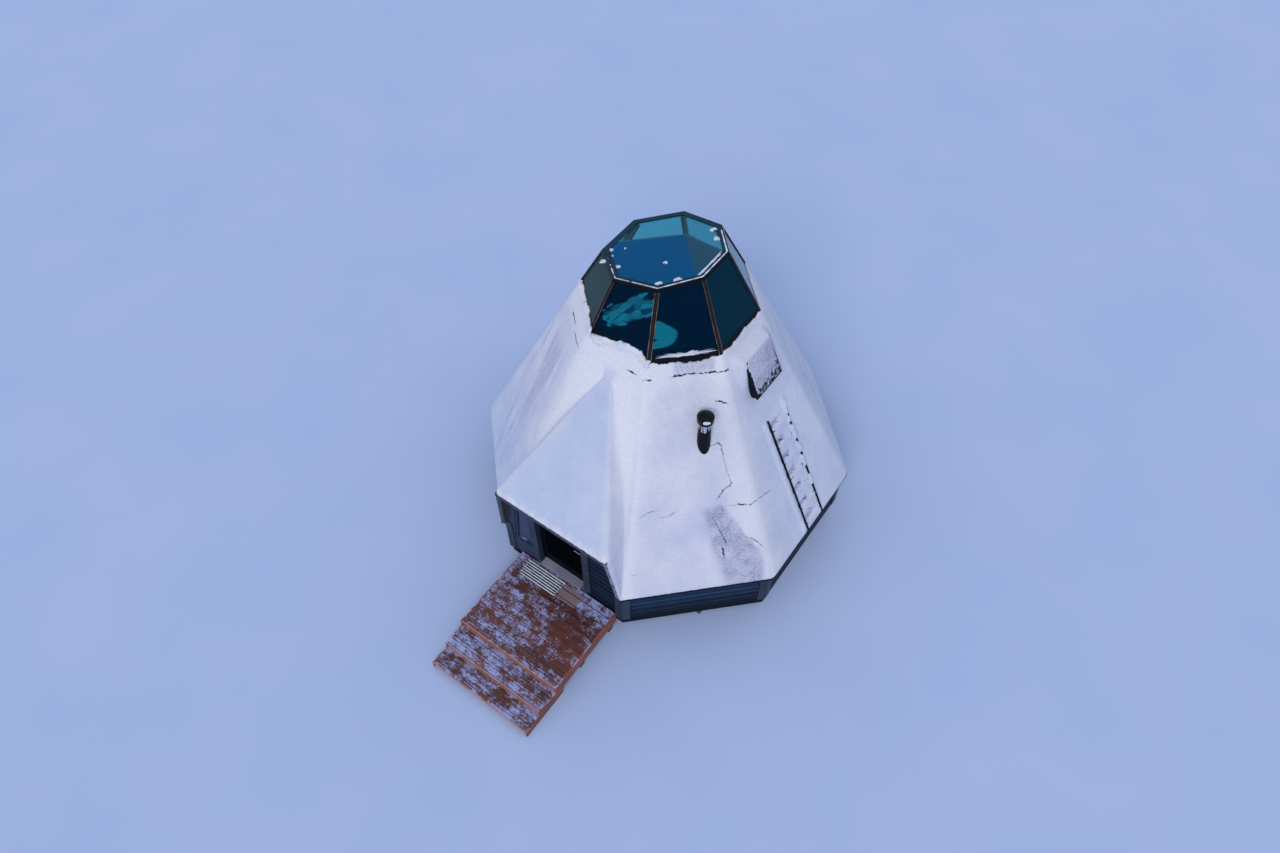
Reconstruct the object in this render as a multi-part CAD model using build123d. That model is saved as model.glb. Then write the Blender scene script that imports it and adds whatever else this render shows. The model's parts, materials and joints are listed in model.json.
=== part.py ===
from build123d import *
from math import atan, cos, radians, sin, tan
import os

os.makedirs("parts", exist_ok=True)

# Plan of the hut. Side 0 is the entrance, facing -Y, and the sides are counted towards +X.
SIDE_NAMES = ["front", "right_front", "right", "right_back", "back", "left_back", "left", "left_front"]
side_count = len(SIDE_NAMES)
side_angle = 360 / side_count
half_side = radians(side_angle / 2)
wall_corner_radius = 3080
wall_thickness = 120

# Levels, from the ground
beam_height = 150
base_frame_height = 200
floor_thickness = 150
eave_height = 1165

# Roof: eight steep panels that lean to one peak
eave_overhang = 90
roof_pitch = 64
roof_thickness = 70

# Glazed cupola, cut off by a sloping top
glass_rise = 27
cupola_base_radius = 1307.5
cupola_glass_height = 870
cupola_top_slope = 11.5
curb_depth = 110
curb_height = 62
pane_thickness = 30
pane_recess = 12
pane_gap = 6
top_pane_thickness = 24
bar_width = 56
bar_depth = 90
cap_width = 64
top_frame_width = 85
top_frame_height = 42
apron_length = 130
sheet_thickness = 4

# Entrance dormer
dormer_apex_drop = 358
dormer_overhang = 185
dormer_head_gap = 30
dormer_lean = 141
dormer_thickness = 60
trim_thickness = 20
dormer_fascia_height = 110
bargeboard_width = 75

# Boarding and trims of the walls
board_height = 145
board_groove = 8
plinth_recess = 20
corner_board_width = 125
eave_fascia_height = 70
rafter_width = 60
rafter_depth = 120

# Door and window
door_left = -500
door_right = 420
door_height = 1710
sill_rise = 20
frame_face = 60
frame_rebate = 15
frame_inside_lip = 10
leaf_thickness = 45
leaf_gap = 5
latch_gap = 7
stile_width = 105
bottom_rail_height = 210
door_glass_thickness = 24
casing_width = 70
threshold_thickness = 30
threshold_nosing = 44
threshold_end_gap = 50
window_corner_margin = 149
window_lean = 135
window_casing_gap = 10
window_sill_rise = 210
window_head_drop = 200
window_frame_face = 45
window_frame_depth = 90
window_glass_thickness = 24

# Door furniture
hinge_knuckle_radius = 9
hinge_knuckle_height = 90
hinge_pin_radius = 4
hinge_pin_gap = 0.08
hinge_seat_gap = 0.5
hinge_leaf_width = 34
hinge_leaf_thickness = 3
hinge_end_distance = 220
hinge_rows = 3
handle_height = 1000
handle_edge_distance = 70
handle_plate_width = 40
handle_plate_height = 220
handle_plate_thickness = 8
handle_bar_radius = 10
handle_bar_length = 125
handle_neck = 52

# Chimney on the right front side
chimney_offset = 205
chimney_distance_up = 2585
pipe_radius = 82
pipe_wall = 25
pipe_above_roof = 600
pipe_below_roof = 420
pipe_hole_gap = 20
collar_gap = 0.3
flashing_margin = 70
boot_spread = 30
boot_above = 320
boot_foot_margin = 30
boot_lip = 8
cap_overhang = 43
cap_skirt = 80
cap_dome = 50
cap_sheet = 4

# Roof hatch and ladder on the right side
hatch_offset = 43
hatch_below_cupola = 652
hatch_width = 650
hatch_length = 640
hatch_height = 120
hatch_side = 45
hatch_sash_height = 28
hatch_sash_overhang = 12
hatch_glass_thickness = 20
ladder_offset = 65
ladder_width = 470
ladder_start = 30
ladder_hatch_gap = 550
rail_thickness = 22
rail_height = 48
rail_lift = 16
rung_pitch = 330
rung_first = 140
rung_radius = 13
rung_lift = 42
bracket_count = 3
bracket_low_distance = 346
bracket_high_distance = 200
bracket_length = 60
bracket_foot = 70
bracket_sheet = 4

# Deck and steps in front of the door
deck_left = -890
deck_right = 1070
deck_height = 420
deck_depth = 1565
step_rise = 140
step_depths = [392, 335]
plank_thickness = 30
plank_width = 142
plank_gap = 6
nosing = 25
stringer_thickness = 45
stringer_count = 5
stringer_depth = 150
stringer_heel = 150
post_side = 95
post_distances = [135, 885]
skirt_thickness = 22
skirt_foot = 180
riser_thickness = 20

# Foot grate on the deck
grate_left = -680
grate_right = 60
grate_distance = 70
grate_depth = 275
grate_height = 25
grate_bar = 8
grate_bar_count = 7
grate_cross_count = 3
grate_cross_height = 14

# Timber under the floor
beam_width = 150
beam_spacing = 1000
beam_setback = 120
ring_width = 100
joist_width = 45
joist_spacing = 600
joint_gap = 1

# Worked out from the sizes above
pitch = radians(roof_pitch)
hip_rise = tan(pitch) * cos(half_side)
eave_corner_radius = wall_corner_radius + eave_overhang
roof_peak = eave_height + eave_corner_radius * hip_rise
wall_face = wall_corner_radius * cos(half_side)
wall_inside = wall_face - wall_thickness
wall_foot = beam_height + base_frame_height
floor_top = wall_foot + floor_thickness
cupola_base_height = roof_peak - cupola_base_radius * hip_rise
cupola_top_height = cupola_base_height + cupola_glass_height
door_sill_height = floor_top + sill_rise + threshold_thickness
door_head_height = door_sill_height + door_height
dormer_apex_height = cupola_base_height - dormer_apex_drop
dormer_eave_height = door_head_height + dormer_head_gap
dormer_reach = wall_face + dormer_overhang
dormer_half_width = eave_corner_radius * sin(half_side) - dormer_lean
house_face = wall_face + trim_thickness
deck_front = house_face + deck_depth
hatch_distance_up = (cupola_base_height - eave_height) / sin(pitch) - hatch_below_cupola
ladder_end = hatch_distance_up - hatch_length / 2 - hatch_sash_overhang - ladder_hatch_gap

# Room for a cut to run out of the piece, and the size of the stock that planes are cut from
cut_margin = 1
stock = 9000


def azimuth(side):
    """Compass angle of a side's outward direction, in radians from +X."""
    return radians(side_angle * side - 90)


def outside(plane):
    """The same plane, facing the other way."""
    return Plane(origin=plane.origin, z_dir=-plane.z_dir)


def roof_plane(side, depth=0.0):
    """A roof side's plane, a depth under its skin, facing out."""
    angle = azimuth(side)
    normal = Vector(sin(pitch) * cos(angle), sin(pitch) * sin(angle), cos(pitch))
    return Plane(origin=Vector(0, 0, roof_peak) - normal * depth, z_dir=normal)


def hip_direction(corner):
    """Level direction from the axis to a corner; corner 0 is the entrance's left one."""
    angle = azimuth(corner) - half_side
    return Vector(cos(angle), sin(angle), 0)


def hip_plane(corner, shift=0.0):
    """Upright plane through the axis and a corner, facing the next lower side, moved by a shift."""
    along = hip_direction(corner)
    normal = Vector(along.Y, -along.X, 0)
    return Plane(origin=normal * shift, z_dir=normal)


def side_plane(side, distance):
    """Upright plane of a side, a distance from the axis, facing out."""
    angle = azimuth(side)
    normal = Vector(cos(angle), sin(angle), 0)
    return Plane(origin=normal * distance, z_dir=normal)


def level(height):
    """Level plane, facing up."""
    return Plane(origin=(0, 0, height), z_dir=(0, 0, 1))


def cupola_top(depth=0.0):
    """The cupola's sloping top plane, a depth under its face."""
    slope = radians(cupola_top_slope)
    normal = Vector(-sin(slope), 0, cos(slope))
    return Plane(origin=Vector(0, 0, cupola_top_height) - normal * depth, z_dir=normal)


def plane_of(first, second, third, inner_point):
    """The plane of three points, facing away from a point inside the hut."""
    normal = (second - first).cross(third - first).normalized()
    if normal.dot(inner_point - first) > 0:
        normal = -normal
    return Plane(origin=first, z_dir=normal)


def moved_in(plane, depth):
    """A plane moved back along its own normal."""
    return Plane(origin=plane.origin - plane.z_dir * depth, z_dir=plane.z_dir)


def trim(shape, *planes):
    """What is left of a shape behind every plane, like a timber after its saw cuts."""
    for plane in planes:
        shape = split(shape, bisect_by=plane, keep=Keep.BOTTOM)
    return shape


def hewn(*planes):
    """A solid bounded by planes that all face out of it."""
    blank = Solid.make_box(2 * stock, 2 * stock, 2 * stock, Plane(origin=(-stock, -stock, -stock)))
    return trim(blank, *planes)


def turned(shape, side):
    """A piece drawn on the right side, turned round the axis to another side."""
    return shape.rotate(Axis.Z, side_angle * (side - SIDE_NAMES.index("right")))


def slab_on(plane, low, size):
    """A squared slab in a plane's own frame, from its lowest corner."""
    corner = plane.origin + plane.x_dir * low[0] + plane.y_dir * low[1] + plane.z_dir * low[2]
    return Solid.make_box(*size, Plane(origin=corner, x_dir=plane.x_dir, z_dir=plane.z_dir))


def write(name, *solids):
    """One file for each named piece."""
    pieces = [piece for solid in solids for piece in solid.solids()]
    export_step(pieces[0] if len(pieces) == 1 else Compound(children=pieces), "parts/" + name + ".step")


def block(low, high):
    """A squared timber between its lowest and its highest corner."""
    size = [top - bottom for bottom, top in zip(low, high)]
    return Solid.make_box(*size, Plane(origin=low))


def octagon(distance, bottom, top):
    """An upright prism with eight sides, each a distance from the axis."""
    sides = [side_plane(side, distance) for side in range(side_count)]
    return hewn(*sides, level(top), outside(level(bottom)))


def on_roof(side, along, up, lift=0.0):
    """A frame on a roof side: X along the eave, Y up the slope, Z out of the roof."""
    angle = azimuth(side)
    eave = eave_corner_radius * cos(half_side)
    across = Vector(-sin(angle), cos(angle), 0)
    plane = roof_plane(side)
    climb = plane.z_dir.cross(across)
    foot = Vector(eave * cos(angle), eave * sin(angle), eave_height)
    origin = foot + plane.z_dir * lift + across * along + climb * up
    return Plane(origin=origin, x_dir=across, z_dir=plane.z_dir)


# Key points and planes of the entrance dormer
front = SIDE_NAMES.index("front")
entrance_point = Vector(0, -wall_inside, eave_height)
dormer_apex = Vector(0, -(roof_peak - dormer_apex_height) / tan(pitch), dormer_apex_height)
dormer_corner = Vector(dormer_half_width, -dormer_reach, dormer_eave_height)
eave_corner = hip_direction(1) * eave_corner_radius + Vector(0, 0, eave_height)


def mirrored_x(point):
    """The same point on the other side of the entrance."""
    return Vector(-point.X, point.Y, point.Z)


def dormer_plane(depth=0.0):
    """The triangular roof over the entrance."""
    return moved_in(plane_of(dormer_apex, dormer_corner, mirrored_x(dormer_corner), entrance_point), depth)


def cheek_plane(hand, depth=0.0):
    """The sloping side of the dormer; hand is 1 on the right and -1 on the left."""
    points = [dormer_apex, dormer_corner, eave_corner]
    if hand < 0:
        points = [mirrored_x(point) for point in points]
    return moved_in(plane_of(*points, entrance_point), depth)


def rake_plane(depth=0.0):
    """The leaning plane of the dormer's front edges, from its corners down to the eave corners."""
    return moved_in(plane_of(dormer_corner, mirrored_x(dormer_corner), eave_corner, entrance_point), depth)


def build_base():
    """Bearing beams on the ground and the ring of floor timbers on them."""
    beams = []
    rows = int(wall_face / beam_spacing)
    for row in range(-rows, rows + 1):
        across = row * beam_spacing
        reach = min(wall_face, wall_face / cos(radians(side_angle)) - abs(across)) - beam_setback
        beams.append(block((across - beam_width / 2, -reach, 0),
                           (across + beam_width / 2, reach, beam_height)))
    write("ground_beams", *beams)

    ring_face = wall_face - plinth_recess
    inside_ring = octagon(ring_face - ring_width, beam_height, wall_foot)
    timbers = []
    for side in range(side_count):
        timbers.append(hewn(side_plane(side, ring_face), outside(side_plane(side, ring_face - ring_width)),
                            *side_mitres(side, joint_gap), level(wall_foot), outside(level(beam_height))))
    rows = int((ring_face - ring_width) / joist_spacing)
    for row in range(-rows, rows + 1):
        near = row * joist_spacing - joist_width / 2
        joist = block((-stock / 2, near, beam_height), (stock / 2, near + joist_width, wall_foot))
        timbers.append(joist & inside_ring)
    write("base_frame", *timbers)
    write("floor", octagon(wall_inside, wall_foot, floor_top))


def wall_section(top_plane_height):
    """Section of a boarded wall, out and up: tongued boards with a groove at each joint."""
    points = [(wall_inside, wall_foot), (wall_face - board_groove, wall_foot)]
    joint = wall_foot
    while joint + board_height < top_plane_height:
        points += [(wall_face, joint + board_groove), (wall_face, joint + board_height - board_groove)]
        joint += board_height
        points.append((wall_face - board_groove, joint))
    points += [(wall_face, joint + board_groove), (wall_face, top_plane_height)]
    points.append((wall_inside, top_plane_height))
    return Polygon(*points, align=None)


def wall_blank(top_height, half_length):
    """A length of boarded wall on the right side, before its ends and top are cut."""
    section = Plane(origin=(0, half_length, 0), x_dir=(1, 0, 0), z_dir=(0, -1, 0)) * wall_section(top_height)
    return extrude(section, amount=2 * half_length)


def side_mitres(side, gap=0.0):
    """The two corner cuts of a side's piece, each held back from the corner by half a gap."""
    return [hip_plane(side, -gap / 2), outside(hip_plane(side + 1, gap / 2))]


def hip_slope(corner, depth):
    """The sloping plane along a hip, square to it, a depth under the roof's skin."""
    fall = atan(hip_rise)
    normal = hip_direction(corner) * sin(fall) + Vector(0, 0, cos(fall))
    return Plane(origin=Vector(0, 0, roof_peak) - normal * depth, z_dir=normal)


def hip_sides(corner, width):
    """The two upright faces of a bar or cap that runs up a hip."""
    return [hip_plane(corner, width / 2), outside(hip_plane(corner, -width / 2))]


def build_walls():
    """Seven low side walls, mitred at the corners and bevelled under the roof."""
    right = SIDE_NAMES.index("right")
    blank = wall_blank(eave_height + wall_thickness * tan(pitch), wall_corner_radius / 2)
    wall = trim(blank, *side_mitres(right), roof_plane(right, roof_thickness))
    for side in range(1, side_count):
        write("wall_" + SIDE_NAMES[side], turned(wall, side))


def build_corner_boards():
    """A mitred pair of boards over each wall corner, from the plinth to the eave."""
    boards = []
    for corner in range(side_count):
        point = hip_direction(corner) * wall_corner_radius
        mitres = (outside(hip_plane(corner, joint_gap / 2)), hip_plane(corner, -joint_gap / 2))
        for side, way, mitre in ((corner - 1, -1, mitres[0]), (corner, 1, mitres[1])):
            angle = azimuth(side)
            along = Vector(-sin(angle), cos(angle), 0) * way
            end = Plane(origin=point + along * corner_board_width, z_dir=along)
            faces = [side_plane(side, house_face), outside(side_plane(side, wall_face))]
            boards.append(hewn(*faces, end, mitre, level(eave_height),
                               outside(level(wall_foot - trim_thickness))))
    write("corner_boards", *boards)


def build_roof():
    """Roof panels with mitred hips, the fascia under their level eaves and the rafters in the hips."""
    ends = [level(cupola_base_height), outside(level(eave_height))]
    for side in range(1, side_count):
        panel = hewn(roof_plane(side), outside(roof_plane(side, roof_thickness)), *side_mitres(side), *ends)
        if SIDE_NAMES[side] == "right_front":
            panel = panel - round_hole(pipe_radius + pipe_hole_gap)
        if SIDE_NAMES[side] == "right":
            panel = panel - hatch_hole()
        write("roof_" + SIDE_NAMES[side], panel)

    opening = hewn(dormer_plane(dormer_thickness), cheek_plane(1, dormer_thickness),
                   cheek_plane(-1, dormer_thickness), outside(level(0)))
    slab = hewn(roof_plane(front), outside(roof_plane(front, roof_thickness)), *side_mitres(front), *ends)
    slab = slab - opening
    halves = [trim(slab, Plane(origin=(way * joint_gap / 2, 0, 0), z_dir=(-way, 0, 0))) for way in (-1, 1)]
    write("roof_front", *halves)

    eave_face = eave_corner_radius * cos(half_side)
    boards = []
    for side in range(1, side_count):
        faces = [side_plane(side, eave_face), outside(side_plane(side, eave_face - trim_thickness))]
        boards.append(hewn(*faces, *side_mitres(side, joint_gap), level(eave_height),
                           outside(level(eave_height - eave_fascia_height))))
    write("eave_fascia", *boards)

    rafters = []
    for corner in range(side_count):
        skins = [roof_plane(side, roof_thickness) for side in (corner - 1, corner)]
        walls = [side_plane(side, wall_inside) for side in (corner - 1, corner)]
        back = outside(hip_slope(corner, roof_thickness + rafter_depth))
        rafters.append(hewn(*skins, *walls, *hip_sides(corner, rafter_width), back,
                            level(cupola_base_height)))
    write("hip_rafters", *rafters)


def build_cupola():
    """Curb, hip bars with cover caps, tinted panes and the sloping top frame with its pane."""
    face = -glass_rise + pane_recess
    back = face + pane_thickness
    curb_top = cupola_base_height + curb_height
    under_top = cupola_top(top_frame_height)

    apron_foot = cupola_base_height - apron_length * sin(pitch)
    curb = []
    panes = []
    apron = []
    for side in range(side_count):
        mitres = side_mitres(side, joint_gap)
        curb.append(hewn(roof_plane(side, face), outside(roof_plane(side, face + curb_depth)), *mitres,
                         level(curb_top), outside(level(cupola_base_height))))
        panes.append(hewn(roof_plane(side, face), outside(roof_plane(side, back)),
                          *side_mitres(side, pane_gap), under_top, outside(level(curb_top))))
        apron.append(hewn(roof_plane(side, -sheet_thickness), outside(roof_plane(side)), *mitres,
                          level(cupola_base_height), outside(level(apron_foot))))
    write("cupola_curb", *curb)
    write("cupola_panes", *panes)
    write("cupola_apron", *apron)

    bars = []
    caps = []
    for corner in range(side_count):
        inner = [roof_plane(side, back) for side in (corner - 1, corner)]
        bars.append(hewn(*inner, *hip_sides(corner, bar_width), outside(hip_slope(corner, back + bar_depth)),
                         under_top, outside(level(curb_top))))
        outer = [roof_plane(side, -glass_rise) for side in (corner - 1, corner)]
        core = hewn(*[roof_plane(side, face) for side in (corner - 1, corner)])
        cap = hewn(*outer, *hip_sides(corner, cap_width), under_top, outside(level(cupola_base_height)),
                   outside(side_plane(corner, 0)))
        caps.append(cap - core)
    write("cupola_bars", *bars)
    write("cupola_bar_caps", *caps)

    top = [cupola_top(), outside(under_top)]
    frame = []
    inner_sides = []
    for side in range(side_count):
        inner_sides.append(moved_in(roof_plane(side, -glass_rise), top_frame_width * sin(pitch)))
        frame.append(hewn(roof_plane(side, -glass_rise), outside(inner_sides[side]),
                          *side_mitres(side, joint_gap), *top))
    write("cupola_top_frame", *frame)
    write("cupola_top_pane", hewn(*inner_sides, cupola_top(pane_recess),
                                  outside(cupola_top(pane_recess + top_pane_thickness))))


def dormer_mitre(hand):
    """The plane that halves the angle between the dormer's roof and one cheek, facing the cheek."""
    corner, far_corner = dormer_corner, mirrored_x(dormer_corner)
    if hand < 0:
        corner, far_corner = far_corner, corner
    spread = dormer_plane().z_dir + cheek_plane(hand).z_dir
    return plane_of(dormer_apex, corner, corner + spread * roof_thickness, far_corner)


def build_dormer():
    """The lifted roof over the entrance: a triangle, two cheeks, and their trims."""
    skin = outside(roof_plane(front))
    plumb = side_plane(front, dormer_reach)
    behind_fascia = moved_in(plumb, trim_thickness)
    write("dormer_roof", hewn(dormer_plane(), outside(dormer_plane(dormer_thickness)), skin, behind_fascia,
                              dormer_mitre(1), dormer_mitre(-1)))
    foot = dormer_eave_height - dormer_fascia_height
    cheeks = []
    trims = [hewn(plumb, outside(behind_fascia), dormer_plane(), cheek_plane(1), cheek_plane(-1),
                  outside(level(foot)))]
    for hand in (-1, 1):
        cheek = cheek_plane(hand)
        above_eave = outside(level(eave_height))
        cheeks.append(hewn(cheek, outside(moved_in(cheek, dormer_thickness)), skin, behind_fascia,
                           rake_plane(trim_thickness), outside(dormer_mitre(hand)), above_eave))
        trims.append(hewn(cheek, outside(moved_in(cheek, bargeboard_width)), skin, rake_plane(),
                          outside(rake_plane(trim_thickness)), level(foot - joint_gap), above_eave))
    write("dormer_cheeks", *cheeks)
    write("dormer_trims", *trims)


def build_front_wall():
    """The taller entrance wall under the dormer, split beside and over the doorway."""
    tallest = dormer_eave_height + dormer_reach - wall_inside
    blank = turned(wall_blank(tallest, wall_corner_radius / 2), front)
    wall = trim(blank, *side_mitres(front), dormer_plane(dormer_thickness))
    under_roof = outside(roof_plane(front, roof_thickness))
    for hand in (-1, 1):
        wall = wall - hewn(outside(cheek_plane(hand, dormer_thickness)), under_roof)
    left_edge = door_left - frame_face
    right_edge = door_right + frame_face
    head = door_head_height + frame_face
    left = trim(wall, Plane(origin=(left_edge, 0, 0), z_dir=(1, 0, 0)))
    window = prism_y(window_outline(), -wall_face - trim_thickness, -wall_inside + trim_thickness)
    write("wall_front_left", left - window)
    write("wall_front_right", trim(wall, Plane(origin=(right_edge, 0, 0), z_dir=(-1, 0, 0))))
    write("wall_over_door", trim(wall, Plane(origin=(left_edge, 0, 0), z_dir=(-1, 0, 0)),
                                 Plane(origin=(right_edge, 0, 0), z_dir=(1, 0, 0)), outside(level(head))))


def window_outline(inset=0.0):
    """The window's outline in the entrance wall: its outer side leans with the dormer's cheek."""
    low_left = window_corner_margin - wall_corner_radius * sin(half_side)
    right = door_left - frame_face - casing_width - window_casing_gap
    bottom = door_sill_height + window_sill_rise
    top = door_head_height - window_head_drop
    high_left = low_left + window_lean
    outline = Polygon((low_left, bottom), (right, bottom), (right, top), (high_left, top), align=None)
    return offset(outline, -inset, kind=Kind.INTERSECTION) if inset else outline


def prism_y(outline, low, high):
    """A flat outline, drawn as across and up, carried through from one depth to another."""
    face = Plane(origin=(0, high, 0), x_dir=(1, 0, 0), z_dir=(0, -1, 0)) * outline
    return extrude(face, amount=high - low)


def build_window():
    """Fixed window beside the door."""
    frame_front = -wall_face + (wall_thickness - window_frame_depth) / 2
    frame_back = frame_front + window_frame_depth
    light = window_outline(window_frame_face)
    frame = prism_y(window_outline(), frame_front, frame_back)
    write("window_frame", frame - prism_y(light, frame_front - cut_margin, frame_back + cut_margin))
    glass_front = frame_front + (window_frame_depth - window_glass_thickness) / 2
    write("window_glass", prism_y(light, glass_front, glass_front + window_glass_thickness))


def build_door():
    """Door frame with a rebate, casing, hinged glazed leaf, hinges, lever handles and threshold."""
    inside = -wall_inside + frame_inside_lip
    stop = inside - leaf_thickness - leaf_gap
    sill = door_sill_height - threshold_thickness
    left, right = door_left - frame_face, door_right + frame_face
    head = door_head_height + frame_face
    outer = block((left, -house_face, wall_foot), (right, inside, head))
    way = block((door_left, -house_face - cut_margin, sill),
                (door_right, inside + cut_margin, door_head_height))
    rebate = block((door_left - frame_rebate, stop, sill),
                   (door_right + frame_rebate, inside + cut_margin, door_head_height + frame_rebate))
    floor_edge = block((left - cut_margin, -wall_inside, wall_foot - cut_margin),
                       (right + cut_margin, inside + cut_margin, floor_top))
    write("door_frame", outer - way - rebate - floor_edge)

    casing_head = head + casing_width
    outline = Polygon((left - casing_width, sill), (left, sill), (left, head), (right, head), (right, sill),
                      (right + casing_width, sill), (right + casing_width, casing_head),
                      (left - casing_width, casing_head), align=None)
    write("door_casing", prism_y(outline, -house_face, -wall_face))

    low = (door_left - frame_rebate + leaf_gap, inside - leaf_thickness, sill + leaf_gap)
    high = (door_right + frame_rebate - latch_gap, inside, door_head_height + frame_rebate - leaf_gap)
    glass_front = inside - (leaf_thickness + door_glass_thickness) / 2
    glass_low = (low[0] + stile_width, glass_front, low[2] + bottom_rail_height)
    glass_high = (high[0] - stile_width, glass_front + door_glass_thickness, high[2] - stile_width)
    light = block((glass_low[0], low[1] - cut_margin, glass_low[2]),
                  (glass_high[0], high[1] + cut_margin, glass_high[2]))
    write("door_leaf", block(low, high) - light)
    write("door_glass", block(glass_low, glass_high))

    write("threshold", block((door_left + threshold_end_gap, -house_face - threshold_nosing, sill),
                             (door_right - threshold_end_gap, stop, door_sill_height)))
    build_hinges(low, high, inside)
    build_handles(low, high, inside)


def build_hinges(low, high, inside):
    """Lift-off hinges: the lower knuckle and pin on the frame, the upper knuckle on the leaf."""
    pin_x = door_left - frame_rebate + leaf_gap / 2
    pin_y = inside + hinge_knuckle_radius
    half = hinge_knuckle_height / 2
    fixed = []
    swinging = []
    for row in range(hinge_rows):
        span = high[2] - low[2] - 2 * hinge_end_distance
        middle = low[2] + hinge_end_distance + span * row / (hinge_rows - 1)
        lower = Solid.make_cylinder(hinge_knuckle_radius, half, Plane(origin=(pin_x, pin_y, middle - half)))
        pin = Solid.make_cylinder(hinge_pin_radius, hinge_knuckle_height - hinge_leaf_thickness,
                                  Plane(origin=(pin_x, pin_y, middle - half)))
        plate = block((pin_x - leaf_gap / 2 - hinge_leaf_width, inside, middle - half),
                      (pin_x, inside + hinge_leaf_thickness, middle))
        fixed.append(lower + pin + plate)
        upper = Solid.make_cylinder(hinge_knuckle_radius, half - hinge_seat_gap,
                                    Plane(origin=(pin_x, pin_y, middle + hinge_seat_gap)))
        strap = block((pin_x, inside, middle + hinge_seat_gap),
                      (low[0] + hinge_leaf_width, inside + hinge_leaf_thickness, middle + half))
        bore = Solid.make_cylinder(hinge_pin_radius + hinge_pin_gap, hinge_knuckle_height,
                                   Plane(origin=(pin_x, pin_y, middle - half / 2)))
        swinging.append(upper + strap - bore)
    write("frame_hinges", *fixed)
    write("leaf_hinges", *swinging)


def build_handles(low, high, inside):
    """A plate, neck and lever on each face of the leaf."""
    centre_x = high[0] - handle_edge_distance
    centre_z = door_sill_height + handle_height
    half = handle_plate_width / 2
    handles = []
    for surface, way in ((inside, 1), (low[1], -1)):
        edge = sorted([surface, surface + way * handle_plate_thickness])
        plate = block((centre_x - half, edge[0], centre_z - handle_plate_height / 2),
                      (centre_x + half, edge[1], centre_z + handle_plate_height / 2))
        out = Plane(origin=(centre_x, surface, centre_z), z_dir=(0, way, 0))
        neck = Solid.make_cylinder(handle_bar_radius, handle_neck, out)
        along = Plane(origin=(centre_x + handle_bar_radius, surface + way * handle_neck, centre_z),
                      z_dir=(-1, 0, 0))
        bar = Solid.make_cylinder(handle_bar_radius, handle_bar_length, along)
        handles.append(plate + neck + bar)
    write("door_handles", *handles)


def chimney_foot():
    """Where the chimney's axis meets the roof's skin."""
    return on_roof(SIDE_NAMES.index("right_front"), chimney_offset, chimney_distance_up).origin


def round_hole(radius):
    """An upright hole along the chimney's axis, from the eave up."""
    foot = chimney_foot()
    return Solid.make_cylinder(radius, stock / 2, Plane(origin=(foot.X, foot.Y, eave_height)))


def build_chimney():
    """Upright flue pipe, its sheet flashing with a conical boot, and a domed rain cap."""
    side = SIDE_NAMES.index("right_front")
    foot = chimney_foot()
    bottom = foot.Z - pipe_below_roof
    top = foot.Z + pipe_above_roof
    at_bottom = Plane(origin=(foot.X, foot.Y, bottom))
    pipe = Solid.make_cylinder(pipe_radius, top - bottom, at_bottom)
    write("chimney_pipe", pipe - Solid.make_cylinder(pipe_radius - pipe_wall, top - bottom, at_bottom))

    boot_radius = pipe_radius + boot_spread
    boot_below = boot_radius * tan(pitch) + boot_foot_margin
    width = 2 * (boot_radius + flashing_margin)
    length = 2 * (boot_radius / cos(pitch) + flashing_margin)
    sheet = on_roof(side, chimney_offset, chimney_distance_up)
    plate = slab_on(sheet, (-width / 2, -length / 2, 0), (width, length, sheet_thickness))
    boot = Solid.make_cone(boot_radius, pipe_radius + boot_lip, boot_below + boot_above,
                           Plane(origin=(foot.X, foot.Y, foot.Z - boot_below)))
    boot = trim(boot, outside(roof_plane(side)))
    write("chimney_flashing", plate + boot - round_hole(pipe_radius + collar_gap))

    cap_radius = pipe_radius + cap_overhang
    dome_radius = (cap_radius**2 + cap_dome**2) / (2 * cap_dome)
    halfway = cap_dome - dome_radius + (dome_radius**2 - cap_radius**2 / 4) ** 0.5
    with BuildSketch(Plane(origin=(foot.X, foot.Y, top), x_dir=(1, 0, 0), z_dir=(0, -1, 0))) as section:
        with BuildLine():
            Polyline((0, 0), (cap_radius - cap_sheet, 0), (cap_radius - cap_sheet, -cap_skirt),
                     (cap_radius, -cap_skirt), (cap_radius, 0))
            ThreePointArc((cap_radius, 0), (cap_radius / 2, halfway), (0, cap_dome))
            Line((0, cap_dome), (0, 0))
        make_face()
    write("chimney_cap", revolve(section.sketch, Axis((foot.X, foot.Y, 0), (0, 0, 1))))


def hatch_frame(inner_margin, outer_margin, bottom, top):
    """A rectangular frame on the ladder side's roof, between two heights over the skin."""
    place = on_roof(SIDE_NAMES.index("right"), hatch_offset, hatch_distance_up)
    outer = hatch_block(place, outer_margin, bottom, top)
    return outer - hatch_block(place, inner_margin, bottom - cut_margin, top + cut_margin)


def hatch_block(place, margin, bottom, top):
    """A slab over the hatch's outline, grown or shrunk by a margin."""
    width = hatch_width + 2 * margin
    length = hatch_length + 2 * margin
    return slab_on(place, (-width / 2, -length / 2, bottom), (width, length, top - bottom))


def hatch_hole():
    """The square hole under the hatch through its roof panel."""
    place = on_roof(SIDE_NAMES.index("right"), hatch_offset, hatch_distance_up)
    return hatch_block(place, -hatch_side, -2 * roof_thickness, roof_thickness)


def build_hatch():
    """Raised roof window: a curb round the hole with a sash on it, and the pane in the sash."""
    curb = hatch_frame(-hatch_side, 0, 0, hatch_height)
    sash = hatch_frame(-hatch_side, hatch_sash_overhang, hatch_height, hatch_height + hatch_sash_height)
    write("hatch_frame", curb + sash)
    place = on_roof(SIDE_NAMES.index("right"), hatch_offset, hatch_distance_up)
    pane_foot = hatch_height + (hatch_sash_height - hatch_glass_thickness) / 2
    write("hatch_pane", hatch_block(place, -hatch_side, pane_foot, pane_foot + hatch_glass_thickness))


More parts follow.
